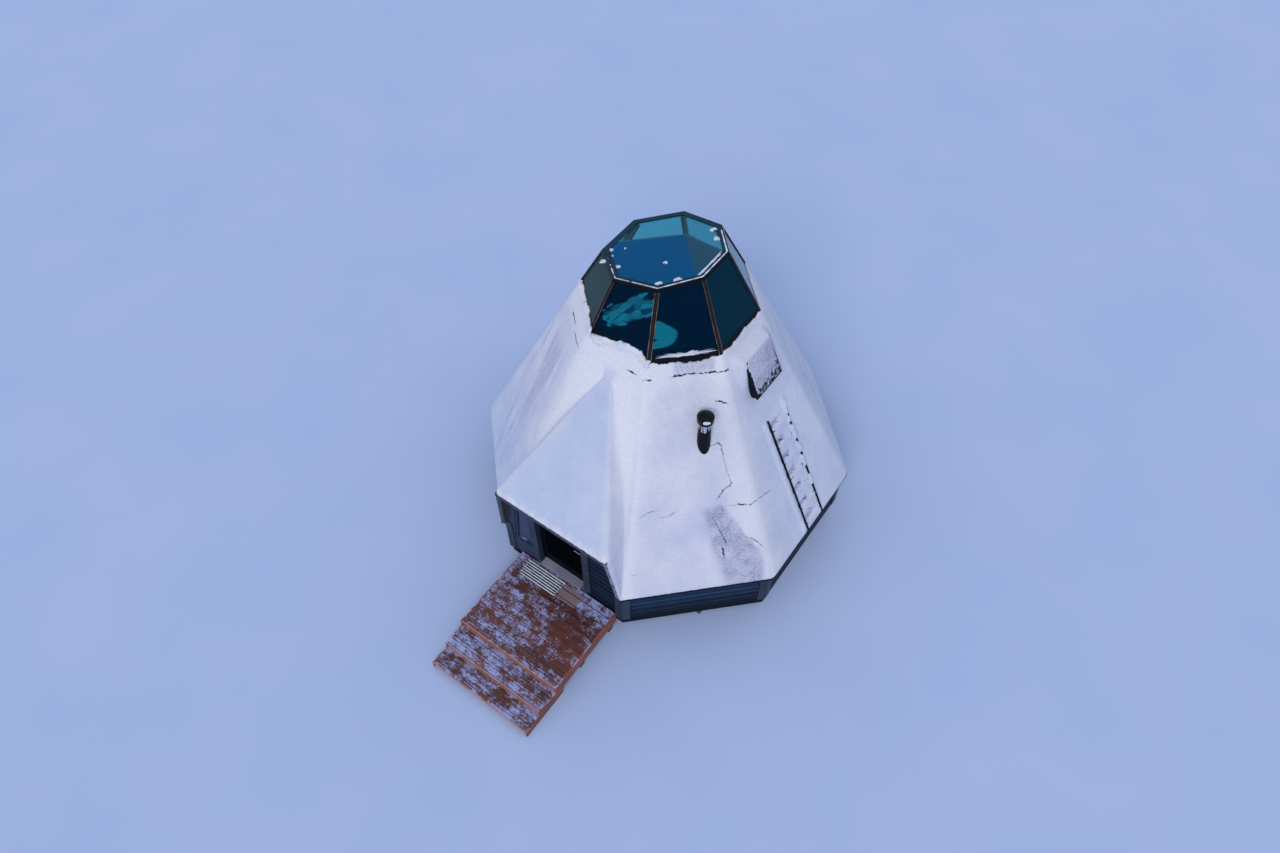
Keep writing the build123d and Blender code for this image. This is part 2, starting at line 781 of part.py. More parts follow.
def build_ladder():
    """Roof ladder: two rails, round rungs and the angle feet that hold it to the roof, all welded."""
    right = SIDE_NAMES.index("right")
    place = on_roof(right, ladder_offset, 0)
    half = ladder_width / 2
    length = ladder_end - ladder_start
    ladder = []
    for low in (-half, half - rail_thickness):
        ladder.append(slab_on(place, (low, ladder_start, rail_lift), (rail_thickness, length, rail_height)))
    for row in range(int((length - rung_first) / rung_pitch) + 1):
        up = ladder_start + rung_first + row * rung_pitch
        start = on_roof(right, ladder_offset - half + rail_thickness, up, rung_lift)
        axis = Plane(origin=start.origin, z_dir=start.x_dir)
        ladder.append(Solid.make_cylinder(rung_radius, ladder_width - 2 * rail_thickness, axis))
    bracket_pitch = (length - bracket_low_distance - bracket_high_distance) / (bracket_count - 1)
    for row in range(bracket_count):
        start = on_roof(right, ladder_offset, ladder_start + bracket_low_distance + row * bracket_pitch)
        for way in (-1, 1):
            end_plane = Plane(origin=start.origin, x_dir=start.x_dir * way, z_dir=start.y_dir * -way)
            ladder.append(extrude(end_plane * bracket_section(half), amount=-way * bracket_length))
    write("roof_ladder", ladder[0].fuse(*ladder[1:]))


def bracket_section(half):
    """Section of a ladder foot, out and up: an angle, one flange on the roof, the other on the rail."""
    top = rail_lift + rail_height
    outer = half + bracket_foot
    return Polygon((half, 0), (outer, 0), (outer, bracket_sheet), (half + bracket_sheet, bracket_sheet),
                   (half + bracket_sheet, top), (half, top), align=None)


def stepped_front(drop, setback):
    """The deck's front and steps in side view, along and up, from its top edge down to the ground."""
    edge = deck_front
    top = deck_height - drop
    points = [(-(edge - setback), top)]
    for depth in step_depths:
        points.append((-(edge - setback), top - step_rise))
        edge += depth
        top -= step_rise
        points.append((-(edge - setback), top))
    return points + [(-(edge - setback), 0)]


def prism_x(outline, low, high):
    """A side view, drawn as along and up, carried across from one side to another."""
    face = Plane(origin=(low, 0, 0), x_dir=(0, 1, 0), z_dir=(1, 0, 0)) * outline
    return extrude(face, amount=high - low)


def build_deck():
    """Plank deck with two broad steps on joists, posts, notched strings, risers and side boards."""
    inner_left = deck_left + skirt_thickness
    inner_right = deck_right - skirt_thickness
    behind_riser = nosing + riser_thickness
    heel = deck_front - stringer_heel
    under_planks = deck_height - plank_thickness
    under_joists = under_planks - stringer_depth

    front_edge = stepped_front(plank_thickness, behind_riser)
    string_outline = Polygon((-heel, under_planks), *front_edge, (-heel, 0), align=None)
    spacing = (inner_right - inner_left - stringer_thickness) / (stringer_count - 1)
    timbers = []
    for row in range(stringer_count):
        start = inner_left + spacing * row
        end = start + stringer_thickness
        timbers.append(block((start, -heel, under_joists), (end, -house_face, under_planks)))
        timbers.append(prism_x(string_outline, start, end))
        for distance in post_distances:
            near = -house_face - distance + post_side / 2
            timbers.append(block((start, near - post_side, 0), (end, near, under_joists)))
    write("deck_stringers", *timbers)

    skirt = Polygon((-house_face, deck_height), *stepped_front(0, 0), (-heel, 0), (-heel, skirt_foot),
                    (-house_face, skirt_foot), align=None)
    write("deck_skirts", prism_x(skirt, deck_left, inner_left), prism_x(skirt, inner_right, deck_right))

    risers = []
    edge = deck_front
    top = under_planks
    for depth in step_depths:
        risers.append(block((inner_left, -edge + nosing, top + plank_thickness - step_rise),
                            (inner_right, -edge + behind_riser, top)))
        edge += depth
        top -= step_rise
    risers.append(block((inner_left, -edge + nosing, 0), (inner_right, -edge + behind_riser, top)))
    write("step_risers", *risers)

    laid = planks(house_face, deck_front, deck_height)
    edge = deck_front
    for row, depth in enumerate(step_depths):
        laid += planks(edge - nosing, edge + depth, deck_height - (row + 1) * step_rise)
        edge += depth
    write("deck_planks", *laid)


def planks(near, far, top):
    """Planks laid across the deck between two distances from the axis."""
    count = round((far - near) / plank_width)
    spacing = (far - near + plank_gap) / count
    laid = []
    for row in range(count):
        start = near + row * spacing
        laid.append(block((deck_left + skirt_thickness, -start - spacing + plank_gap, top - plank_thickness),
                          (deck_right - skirt_thickness, -start, top)))
    return laid


def build_grate():
    """Foot grate: flat bars on edge, joined by low cross bars."""
    spacing = (grate_depth - grate_bar) / (grate_bar_count - 1)
    back = -house_face - grate_distance
    front_edge = back - grate_depth
    bars = []
    for row in range(grate_bar_count):
        start = front_edge + row * spacing
        bars.append(block((grate_left, start, deck_height),
                          (grate_right, start + grate_bar, deck_height + grate_height)))
    for row in range(grate_cross_count):
        across = grate_left + (grate_right - grate_left - grate_bar) * row / (grate_cross_count - 1)
        bars.append(block((across, front_edge, deck_height),
                          (across + grate_bar, back, deck_height + grate_cross_height)))
    write("boot_grate", bars[0].fuse(*bars[1:]))


build_base()
build_walls()
build_corner_boards()
build_front_wall()
build_roof()
build_dormer()
build_cupola()
build_window()
build_door()
build_chimney()
build_hatch()
build_ladder()
build_deck()
build_grate()
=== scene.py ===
import json
import math

import bpy
import numpy as np
from mathutils import Matrix, Vector

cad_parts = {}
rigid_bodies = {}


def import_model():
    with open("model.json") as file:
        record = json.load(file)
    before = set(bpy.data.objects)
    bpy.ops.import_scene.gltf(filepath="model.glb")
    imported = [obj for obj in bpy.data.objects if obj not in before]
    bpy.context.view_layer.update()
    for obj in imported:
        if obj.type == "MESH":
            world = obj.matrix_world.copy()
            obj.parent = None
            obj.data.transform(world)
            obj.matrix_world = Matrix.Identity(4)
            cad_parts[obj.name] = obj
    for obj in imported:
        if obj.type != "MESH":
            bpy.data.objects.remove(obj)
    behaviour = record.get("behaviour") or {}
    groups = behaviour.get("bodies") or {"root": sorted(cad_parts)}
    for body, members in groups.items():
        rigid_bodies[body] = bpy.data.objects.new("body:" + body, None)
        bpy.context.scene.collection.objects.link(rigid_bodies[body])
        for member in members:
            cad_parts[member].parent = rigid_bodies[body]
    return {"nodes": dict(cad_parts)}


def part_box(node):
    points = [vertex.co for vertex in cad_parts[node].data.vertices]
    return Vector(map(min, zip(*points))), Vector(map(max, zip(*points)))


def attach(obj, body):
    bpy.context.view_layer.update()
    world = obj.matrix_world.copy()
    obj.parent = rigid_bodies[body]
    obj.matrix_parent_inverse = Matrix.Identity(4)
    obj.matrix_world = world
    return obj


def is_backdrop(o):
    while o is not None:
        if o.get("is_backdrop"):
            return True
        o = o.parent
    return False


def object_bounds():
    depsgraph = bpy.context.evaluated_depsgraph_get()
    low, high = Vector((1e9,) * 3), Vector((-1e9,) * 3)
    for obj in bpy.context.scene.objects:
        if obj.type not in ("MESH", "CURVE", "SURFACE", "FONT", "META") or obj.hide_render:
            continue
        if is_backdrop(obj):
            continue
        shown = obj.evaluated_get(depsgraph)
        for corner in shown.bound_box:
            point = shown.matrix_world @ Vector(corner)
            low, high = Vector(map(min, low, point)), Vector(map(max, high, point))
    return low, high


for left_over in list(bpy.data.objects):
    bpy.data.objects.remove(left_over)
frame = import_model()
cad_low, cad_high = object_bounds()


# Ground beams, rafters and deck joists.
# Sawn pine, left raw: pale brown grain that has gone grey outdoors, laid on the ground and nailed together.

def linear(code):
    """Turns an sRGB hex colour to linear light, by the sRGB curve on each of its three parts."""
    parts = [int(code[i:i + 2], 16) / 255 for i in (1, 3, 5)]
    return [p / 12.92 if p <= 0.04045 else ((p + 0.055) / 1.055) ** 2.4 for p in parts] + [1.0]


def node(tree, kind, *values, out=None, **named):
    """Adds one shader node, whose mode is the second word of its kind. Values and links go to its open inputs in their
    order, or to named ones. Gives the output called out, or else the first open one."""
    kind, _, mode = kind.partition(" ")
    made = tree.nodes.new("ShaderNode" + kind)
    if mode:
        setattr(made, {"Math": "operation", "VectorMath": "operation", "Mix": "data_type",
                       "Attribute": "attribute_name"}.get(kind, "noise_dimensions"), mode)
    pairs = list(zip([socket for socket in made.inputs if socket.enabled], values))
    for socket, value in pairs + [(made.inputs[name.replace("_", " ")], value) for name, value in named.items()]:
        if isinstance(value, bpy.types.NodeSocket):
            tree.links.new(value, socket)
        else:
            socket.default_value = value
    return made.outputs[out] if out is not None else next((way for way in made.outputs if way.enabled), None)


def new_material(name, **sockets):
    """Starts a material and gives it, its node tree and its shader, with the shader's own sockets set."""
    material = bpy.data.materials.new(name)
    material.use_nodes = True
    shader = material.node_tree.nodes["Principled BSDF"]
    for socket, value in sockets.items():
        shader.inputs[socket.replace("_", " ")].default_value = value
    return material, material.node_tree, shader


def finish(tree, shader, colour=None, roughness=None, height=None, depth=0.001):
    """Links a colour, a roughness and a bump to the shader. The depth is the bump's real height in metres."""
    if colour is not None:
        tree.links.new(colour, shader.inputs["Base Color"])
    if roughness is not None:
        tree.links.new(roughness, shader.inputs["Roughness"])
    if height is not None:
        bump = node(tree, "Bump", Height=height, Distance=depth, Strength=1.0)
        tree.links.new(bump, shader.inputs["Normal"])


def cover(material, *names):
    """Gives that material to CAD nodes."""
    for name in names:
        for slot in frame["nodes"][name].material_slots:
            slot.material = material


def grain(tree, dark, light, run, board=0.15, start=0.0, wide=0.012, stretch=45):
    """Wood figure: noise as wide as the grain, drawn out along the run of the boards, with a shade for each board by
    white noise of its number. Gives the colour, the grain's height, and the distance to a board's edge, 0 to 0.5."""
    where = node(tree, "TexCoord").node.outputs
    x, y, z = node(tree, "SeparateXYZ", where["Object"]).node.outputs
    if run == "wall":
        level = node(tree, "VectorMath CROSS_PRODUCT", (0, 0, 1), where["Normal"])
        level = node(tree, "VectorMath NORMALIZE", level)
        along, across, deep = node(tree, "VectorMath DOT_PRODUCT", where["Object"], level), z, x
    else:
        along, across, deep = {"x": (x, y, z), "y": (y, x, z), "z": (z, x, y)}[run]
    number = node(tree, "Math SUBTRACT", across, start)
    number = node(tree, "Math DIVIDE", number, board)
    whole = node(tree, "Math FLOOR", number)
    edge = node(tree, "Math PINGPONG", number, 0.5)
    shade = node(tree, "TexWhiteNoise 1D", whole)
    slide = node(tree, "Math MULTIPLY_ADD", shade, 7.0, along)
    grid = node(tree, "CombineXYZ", slide, across, deep)
    grid = node(tree, "Mapping", grid, Scale=(1 / wide / stretch, 1 / wide, 1 / wide))
    lines = node(tree, "TexNoise", grid, 1.0, 5.0, 0.65)
    lines = node(tree, "MapRange", lines, 0.32, 0.68)
    blotch = node(tree, "TexNoise", where["Object"], 3.0, 3.0)
    amount = node(tree, "Math MULTIPLY_ADD", shade, 0.45, blotch)
    amount = node(tree, "Math MULTIPLY_ADD", lines, 0.55, amount)
    amount = node(tree, "MapRange", amount, 0.35, 1.45)
    colour = node(tree, "Mix RGBA", amount, linear(dark), linear(light))
    return colour, lines, edge


# raw sawn pine: rough, matt and pale brown, going to grey
raw_pine, tree, shader = new_material("raw sawn pine", Roughness=0.85)
colour, height, edge = grain(tree, "#272523", "#55504B", "y")
finish(tree, shader, colour, height=height, depth=0.002)
cover(raw_pine, "ground_beams", "hip_rafters", "deck_stringers")


# Plinth, walls and eaves board.
# Spruce boards laid flat one over another, stained near black. Frost in the joints draws a pale line at every board.
board_width = 0.145
wall_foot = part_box("wall_right")[0].z
wall_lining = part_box("wall_right")[0].x
frost_inner, frost_outer = 0.025, 0.075
darkest_below, darkening_ends_at = 0.1, 0.5
lighter_shade_from = -0.4
stain_dark, stain_light, frost_line = "#050C18", "#1A3555", "#5F7DB2"
lining_shade_dark, lining_shade_light = "#121213", "#26252A"


def frosted(tree, colour, seed, cover_share, patch=0.35, speck=0.03, frost="#A9B0CC", bias=None, soft=0.05, long=1.0):
    """Hoar frost on what looks up: a broad noise of that patch size and a fine one of that speck size are added, and
    where their sum passes the share's level, frost is mixed in as far as the surface is level. A bias moves the sum,
    and the patches are as many times longer along x as long says. Gives the colour and the amount of frost."""
    usual_sum, spread = 0.775, 0.3
    where = node(tree, "TexCoord").node.outputs
    up = node(tree, "SeparateXYZ", where["Normal"], out=2)
    up = node(tree, "MapRange", up, 0.35, 0.9)
    place = node(tree, "Mapping", where["Object"], Scale=(1 / long, 1, 1))
    broad = node(tree, "TexNoise 4D", place, seed, 1 / patch, 5.0, 0.65)
    fine = node(tree, "TexNoise", place, 1 / speck, 4.0, 0.65)
    both = node(tree, "Math MULTIPLY_ADD", fine, 0.55, broad)
    if bias is not None:
        both = node(tree, "Math ADD", both, bias)
    level = usual_sum + (0.5 - cover_share) * spread
    amount = node(tree, "MapRange", both, level - soft, level + soft)
    amount = node(tree, "Math MULTIPLY", amount, up)
    return node(tree, "Mix RGBA", amount, colour, linear(frost)), amount


def off_centre(tree, turn):
    """Distance from the axis, and the angle to the nearest of the eight lines that lie that many eighths round."""
    x, y, z = node(tree, "SeparateXYZ", node(tree, "TexCoord", out="Object")).node.outputs
    angle = node(tree, "Math ARCTAN2", y, x)
    eighths = node(tree, "Math MULTIPLY_ADD", angle, 4 / math.pi, -turn)
    off = node(tree, "Math PINGPONG", eighths, 0.5)
    off = node(tree, "Math MULTIPLY", off, math.pi / 4)
    flat = node(tree, "CombineXYZ", x, y)
    return node(tree, "VectorMath LENGTH", flat), off


def outside(tree):
    """1 on what lies outside the lining of the eight walls, and 0 on the lining: the reach is the distance from the
    axis times the cosine of the angle to the nearest wall's middle."""
    distance, off = off_centre(tree, 0.0)
    share = node(tree, "Math COSINE", off)
    reach = node(tree, "Math MULTIPLY", distance, share)
    return node(tree, "Math GREATER_THAN", reach, wall_lining + 0.01)


# stained spruce: satin near black, and indoors a pine lining painted near black as painted shade, so that the room
# looks dark from outside
stained_boards, tree, shader = new_material("stained spruce boards", Roughness=0.6, Specular_IOR_Level=0.12)
colour, height, edge = grain(tree, stain_dark, stain_light, "wall", board_width, wall_foot)
joint = node(tree, "MapRange", edge, frost_inner, frost_outer, 0.6, 0.0)
colour = node(tree, "Mix RGBA", joint, colour, linear(frost_line))
x, y, z = node(tree, "SeparateXYZ", node(tree, "TexCoord", out="Object")).node.outputs
# the boards grow darker towards the foot of the walls
foot_darkening = node(tree, "MapRange", z, wall_foot + darkest_below, wall_foot + darkening_ends_at, 0.65, 0.0)
colour = node(tree, "Mix RGBA", foot_darkening, colour, linear("#02050A"))
# painted shade on the front walls under the dormer: near black by the door, and a lighter painted shade at the open
# left end
dormer_shade = node(tree, "MapRange", y, -wall_lining, -wall_lining - 0.05, To_Max=0.6)
lighter_shade_left = node(tree, "Math LESS_THAN", x, lighter_shade_from)
shade = node(tree, "Mix RGBA", lighter_shade_left, linear("#02050A"), linear("#3C4866"))
colour = node(tree, "Mix RGBA", dormer_shade, colour, shade)
# indoors the lining is painted near black as painted shade
indoors = grain(tree, lining_shade_dark, lining_shade_light, "wall", 0.12, wall_foot)[0]
colour = node(tree, "Mix RGBA", outside(tree), indoors, colour)
finish(tree, shader, colour, height=height, depth=0.002)
cover(stained_boards, "wall_right_front", "wall_right", "wall_right_back", "wall_back", "wall_left_back", "wall_left",
      "wall_left_front", "wall_front_left", "wall_front_right", "wall_over_door")

# the same stain on the solid timbers of the plinth and on the eaves board, darker
stained_timber, tree, shader = new_material("stained spruce timber", Roughness=0.65, Specular_IOR_Level=0.12)
colour, height, edge = grain(tree, "#03060B", "#0E1826", "wall", 0.2, wall_foot)
colour = frosted(tree, colour, 1.0, 0.3)[0]
finish(tree, shader, colour, height=height, depth=0.002)
cover(stained_timber, "base_frame", "eave_fascia")


# Floor of the room.
# Planed pine boards, oiled dark, running from front to back.
floor_boards, tree, shader = new_material("oiled pine floor", Roughness=0.45)
colour, height, edge = grain(tree, "#2A1E15", "#4C3A2A", "y", 0.12)
gap = node(tree, "MapRange", edge, 0.01, 0.03, 0.25, 1.0)
colour = node(tree, "Mix RGBA", gap, linear("#22160C"), colour)
finish(tree, shader, colour, height=height, depth=0.001)
cover(floor_boards, "floor")


# Corner boards, bargeboards, door frame, casing and window frame.
# Planed spruce under blue-grey paint, run upright at the corners, with frost on every ledge.
painted_trim, tree, shader = new_material("grey painted spruce", Roughness=0.55, Specular_IOR_Level=0.3)
colour, height, edge = grain(tree, "#131D2C", "#37465C", "z", 0.6)
colour = frosted(tree, colour, 2.0, 0.25)[0]
finish(tree, shader, colour, height=height, depth=0.0012)
cover(painted_trim, "corner_boards", "door_frame", "door_casing", "window_frame")

# the bargeboards and the fascia of the dormer: the same paint, and the right bargeboard pale with frost from the wind
frosted_trim, tree, shader = new_material("frosted grey paint", Roughness=0.7)
colour, height, edge = grain(tree, "#131D2C", "#37465C", "z", 0.6)
place = node(tree, "TexCoord", out="Object")
rime = node(tree, "TexNoise", place, 1 / 0.05, 5.0)
rime = node(tree, "MapRange", rime, 0.3, 0.7, To_Max=0.8)
windward = node(tree, "SeparateXYZ", place, out=0)
windward = node(tree, "MapRange", windward, 0.98, 1.04, 0.12)
rime = node(tree, "Math MULTIPLY", rime, windward)
colour = node(tree, "Mix RGBA", rime, colour, linear("#A2AAC4"))
finish(tree, shader, colour, height=height, depth=0.0012)
cover(frosted_trim, "dormer_trims")


# Roof panels and the dormer's shell.
# Plywood panels with mineral felt outside and pine lining indoors, the lining painted near black as painted shade.
roof_skin, tree, shader = new_material("mineral roofing felt", Roughness=0.9)
where = node(tree, "TexCoord").node.outputs
grit = node(tree, "TexNoise", where["Object"], 1 / 0.012, 4.0)
felt = node(tree, "Mix RGBA", grit, linear("#15181E"), linear("#3A3E49"))
# indoors the lining is painted near black as painted shade
indoors = grain(tree, lining_shade_dark, lining_shade_light, "z", 0.12)[0]
up = node(tree, "SeparateXYZ", where["Normal"], out=2)
up = node(tree, "Math GREATER_THAN", up, -0.2)
colour = node(tree, "Mix RGBA", up, indoors, felt)
finish(tree, shader, colour, height=grit, depth=0.002)
cover(roof_skin, "roof_front", "roof_right_front", "roof_right", "roof_right_back", "roof_back", "roof_left_back",
      "roof_left", "roof_left_front", "dormer_roof", "dormer_cheeks")


# Snow on the roof and the dormer.
# One crust of wind-packed snow over all eight sides, 3 cm deep and deeper in the dormer's valleys and on its lip. It is
# a ring of points at every height, from the eaves to the dome, moved out from the roof's skin by the depth.
pitch = math.radians(64)
eave_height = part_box("roof_right")[0].z
eave_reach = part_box("roof_right")[1].x
dome_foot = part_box("roof_right")[1].z
eighth = math.pi / 8
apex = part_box("dormer_roof")[1]
lip_half, lip_height = 1.072, 2.29
lip_reach = -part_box("dormer_trims")[0].y
snow_depth, dormer_depth, crust_under = 0.028, 0.05, 0.008
lip_round, eave_round, rim_round = 0.065, 0.045, 0.03
valley_fill = 0.75
top_band, row_step = 4.58, 0.0235


def apothem(height):
    """Distance from the axis to the middle of a roof side's skin, which falls by the cotangent of the pitch."""
    return eave_reach - (height - eave_height) / math.tan(pitch)


def smooth(value, low=0.0, high=1.0):
    """Smoothstep: 0 up to low, 1 from high, and 3t squared less 2t cubed between them."""
    part = np.clip((value - low) / (high - low), 0, 1)
    return part * part * (3 - 2 * part)


def bulge(value):
    """Quarter circle from 0 at 0 up to 1 at 1, for the rounded edge of a crust."""
    return np.sqrt(1 - (1 - np.clip(value, 0, 1)) ** 2)


def ripple(points, size, seed):
    """Smooth random numbers from -1 to 1: values on a cubic lattice of that size, blended by the smoothstep of the
    place between the eight lattice points round it."""
    lattice = np.random.default_rng(seed).uniform(-1, 1, (32, 32, 32))
    place = points / size + 100
    cell = np.floor(place).astype(int)
    part = place - cell
    part = part * part * (3 - 2 * part)
    total = 0
    for corner in np.ndindex(2, 2, 2):
        share = np.prod(np.where(np.array(corner) == 1, part, 1 - part), axis=-1)
        at = (cell + corner) % 32
        total = total + share * lattice[at[..., 0], at[..., 1], at[..., 2]]
    return total


def hip(number):
    """Line of a hip: apothem over the cosine of an eighth of a half turn, at 22.5 degrees and 45 for each number."""
    angle = eighth * (1 + 2 * number)
    return lambda z: np.stack([apothem(z) / math.cos(eighth) * math.cos(angle),
                               apothem(z) / math.cos(eighth) * math.sin(angle)], -1)


def dormer_ridge(way):
    """Edge of the dormer's roof: from the eaves corner up to its lip's corner, then in to the apex. Above the apex it
    fans out again over the side, so that the points stay apart."""
    def line(z):
        low = np.clip((z - eave_height) / (lip_height - eave_height), 0, 1)
        high = np.clip((z - lip_height) / (apex.z - lip_height), 0, 1)
        corner_x = eave_reach * math.tan(eighth)
        x = np.where(z < lip_height, corner_x + (lip_half - corner_x) * low, lip_half * (1 - high))
        y = np.where(z < lip_height, eave_reach + (lip_reach - eave_reach) * low,
                     lip_reach + (-apex.y - lip_reach) * high)
        spread = 0.29 * apothem(z) * math.tan(eighth) * smooth(z, apex.z - 0.25, apex.z + 0.2)
        return np.stack([way * np.maximum(x, spread), -np.where(z > apex.z, apothem(z), y)], -1)
    return line


def valley(way):
    """Meeting of the dormer's cheek and the front side: from the eaves corner straight up to the apex."""
    def line(z):
        part = np.clip((z - eave_height) / (apex.z - eave_height), 0, 1)
        spread = 0.45 * apothem(z) * math.tan(eighth) * smooth(z, apex.z - 0.35, apex.z + 0.2)
        return np.stack([way * np.maximum(eave_reach * math.tan(eighth) * (1 - part), spread), -apothem(z)], -1)
    return line


# stretches of the ring, anticlockwise from the dormer's left edge: the line each starts on, and its columns
stretches = [(dormer_ridge(-1), 130), (dormer_ridge(1), 12), (valley(1), 16), (hip(6), 150), (hip(7), 110),
             (hip(0), 56), (hip(1), 56), (hip(2), 56), (hip(3), 56), (hip(4), 70), (hip(5), 12), (valley(-1), 12)]
DORMER, CHEEK, SLIVER, RIGHT_FRONT, RIGHT, RIGHT_BACK = range(6)
LEFT_FRONT, LEFT_SLIVER, LEFT_CHEEK = 9, 10, 11
starts = np.cumsum([0] + [count for line, count in stretches])
stretch_of = np.repeat(np.arange(len(stretches)), np.diff(starts))
columns = starts[-1]

# how high the crust reaches at the dome, by the place round it: low where the curb is blown bare, high on a pane
edge_turns = [-180, -140, -125, -112.5, -103, -95, -83, -73, -69, -67, -63, -60, -45, -35, -25, -20, -13, -8, 3, 12, 22,
              90, 180]
edge_heights = [4.70, 4.75, 4.76, 4.70, 4.71, 4.745, 4.785, 4.775, 4.72, 4.69, 4.655, 4.645, 4.64, 4.625, 4.68, 4.70,
                4.65, 4.67, 4.69, 4.67, 4.69, 4.70, 4.70]
turn = np.zeros(columns)
for i, (line, count) in enumerate(stretches):
    step = np.arange(count)[:, None] / count
    height = np.full(count, dome_foot)
    low, high = line(height), stretches[(i + 1) % len(stretches)][0](height)
    spot = low + (high - low) * step
    turn[starts[i]:starts[i + 1]] = np.degrees(np.arctan2(spot[:, 1], spot[:, 0]))
rim = np.interp(turn, edge_turns, edge_heights)
circle = np.stack([np.cos(np.radians(turn)), np.sin(np.radians(turn)), 0 * turn], -1) * 1.25
rim = rim + 0.016 * ripple(circle, 0.09, 11) + 0.012 * ripple(circle, 0.03, 12)

# heights of the rows: close together at the eaves and at the lip for their rounded edges, and drawn up to the rim
fine = np.array([0, 0.006, 0.015, 0.03])
rows_low = np.unique(np.round(np.concatenate([
    eave_height + fine, np.arange(eave_height + 0.05, lip_height - 0.01, row_step), lip_height + fine,
    np.arange(lip_height + 0.05, top_band, row_step)]), 5))
rows_high = 1 - (1 - np.linspace(0, 1, 15)[1:]) ** 1.6
heights = np.concatenate([np.repeat(rows_low[:, None], columns, 1),
                          rows_low[-1] + (rim - rows_low[-1])[None, :] * rows_high[:, None]])
lip_row = int(np.argmin(abs(rows_low - lip_height)))

skin = np.zeros(heights.shape + (3,))
skin[..., 2] = heights
filled = skin.copy()
for i, (line, count) in enumerate(stretches):
    part = slice(starts[i], starts[i + 1])
    z = heights[:, part]
    step = (np.arange(count) / count)[None, :, None]
    following = stretches[(i + 1) % len(stretches)][0]
    low, high = line(z), following(z)
    skin[:, part, :2] = low + (high - low) * step
    for way, outer, inner in ((1, CHEEK, SLIVER), (-1, LEFT_CHEEK, LEFT_SLIVER)):
        if i in (outer, inner):
            ridge, side_hip = dormer_ridge(way)(z), hip(6 if way > 0 else 5)(z)
            pit = valley(way)(z)
            near = np.linalg.norm(pit - ridge, axis=-1, keepdims=True)
            far = np.linalg.norm(pit - side_hip, axis=-1, keepdims=True)
            bridge = ridge + (side_hip - ridge) * near / (near + far + 1e-6)
            raised = pit + valley_fill * (bridge - pit)
            low = raised if i == (SLIVER if way > 0 else LEFT_CHEEK) else low
            high = raised if i == (CHEEK if way > 0 else LEFT_SLIVER) else high
    filled[:, part, :2] = low + (high - low) * step

# snow rounds every ridge and hollow: each ring is averaged with its neighbours along it, but not over the doorway
open_ring = np.r_[starts[1]:columns, 0]
for _ in range(10):
    around = (np.roll(filled, 1, 1) + np.roll(filled, -1, 1)) / 4 + filled / 2
    edge_on = filled[:lip_row, open_ring]
    edge_on[:, 1:-1] = (edge_on[:, :-2] + edge_on[:, 2:]) / 4 + edge_on[:, 1:-1] / 2
    filled[lip_row:, :, :2] = around[lip_row:, :, :2]
    filled[:lip_row, open_ring] = edge_on


def facing(points):
    """Outward unit normals of the ring grid: the cross product of the step along a ring and the step up."""
    along = np.roll(points, -1, 1) - np.roll(points, 1, 1)
    along[:lip_row, starts[1]] = points[:lip_row, starts[1] + 1] - points[:lip_row, starts[1]]
    along[:lip_row, 0] = points[:lip_row, 0] - points[:lip_row, -1]
    normal = np.cross(along, np.gradient(points, axis=0))
    return normal / np.maximum(np.linalg.norm(normal, axis=-1, keepdims=True), 1e-9)


def on_side(points, degrees):
    """Place on the roof side that looks in that direction: metres anticlockwise from its middle, metres up the slope
    from the eaves, and metres out from its skin."""
    angle = math.radians(degrees)
    across = points[..., 1] * math.cos(angle) - points[..., 0] * math.sin(angle)
    reach = points[..., 0] * math.cos(angle) + points[..., 1] * math.sin(angle)
    up = (points[..., 2] - eave_height) * math.sin(pitch) - (reach - eave_reach) * math.cos(pitch)
    out = (points[..., 2] - eave_height) * math.cos(pitch) + (reach - eave_reach) * math.sin(pitch)
    return across, up, out


def patch(across, up, left, right, low, high, soft=0.06):
    """1 inside a rectangle of the roof side, fading to 0 over the soft width round it."""
    return (smooth(across, left - soft, left + soft) * (1 - smooth(across, right - soft, right + soft))
            * smooth(up, low - soft, low + soft) * (1 - smooth(up, high - soft, high + soft)))


# depth of the crust: bedded round the ladder's rails, drifted behind the hatch, thicker over the dormer
rung_first, rung_pitch = 0.17, 0.33
across, up = on_side(filled, 0)[:2]
on_right = (stretch_of == RIGHT)[None, :]
ladder_bed = on_right * patch(across, up, -0.16, 0.29, 0.05, 2.38, 0.03)
hatch_low, hatch_high, hatch_left, hatch_right = 2.953, 3.593, -0.282, 0.368
behind_hatch = on_right * (1 - smooth(up, hatch_high, hatch_high + 0.2))
behind_hatch = behind_hatch * smooth(up, hatch_high - 0.08, hatch_high - 0.02)
behind_hatch = behind_hatch * smooth(across, hatch_left - 0.16, hatch_left - 0.02)
behind_hatch = behind_hatch * (1 - smooth(across, hatch_right - 0.02, hatch_right + 0.12))
beside_hatch = on_right * smooth(across, hatch_left - 0.16, hatch_left - 0.01) * (across < hatch_left + 0.05)
beside_hatch = beside_hatch * smooth(up, hatch_low + 0.05, hatch_high) * (up < hatch_high)
behind_hatch = np.maximum(behind_hatch, beside_hatch)
on_dormer = np.zeros(heights.shape)
on_dormer[:, :starts[1] + 1] = 1
for _ in range(12):
    on_dormer = (np.roll(on_dormer, 1, 1) + np.roll(on_dormer, -1, 1)) / 4 + on_dormer / 2
on_dormer = on_dormer * (1 - smooth(heights, apex.z - 0.1, apex.z + 0.1))
depth = snow_depth + (dormer_depth - snow_depth) * on_dormer
depth = depth + 0.004 * ripple(filled, 0.55, 1) + 0.0025 * ripple(filled, 0.14, 2) + 0.001 * ripple(filled, 0.05, 3)
over_rung = np.cos(2 * math.pi * (up - rung_first - 0.10) / rung_pitch)
dents = smooth(over_rung, 0.45, 0.95) * (1 - smooth(across, 0.02, 0.12))
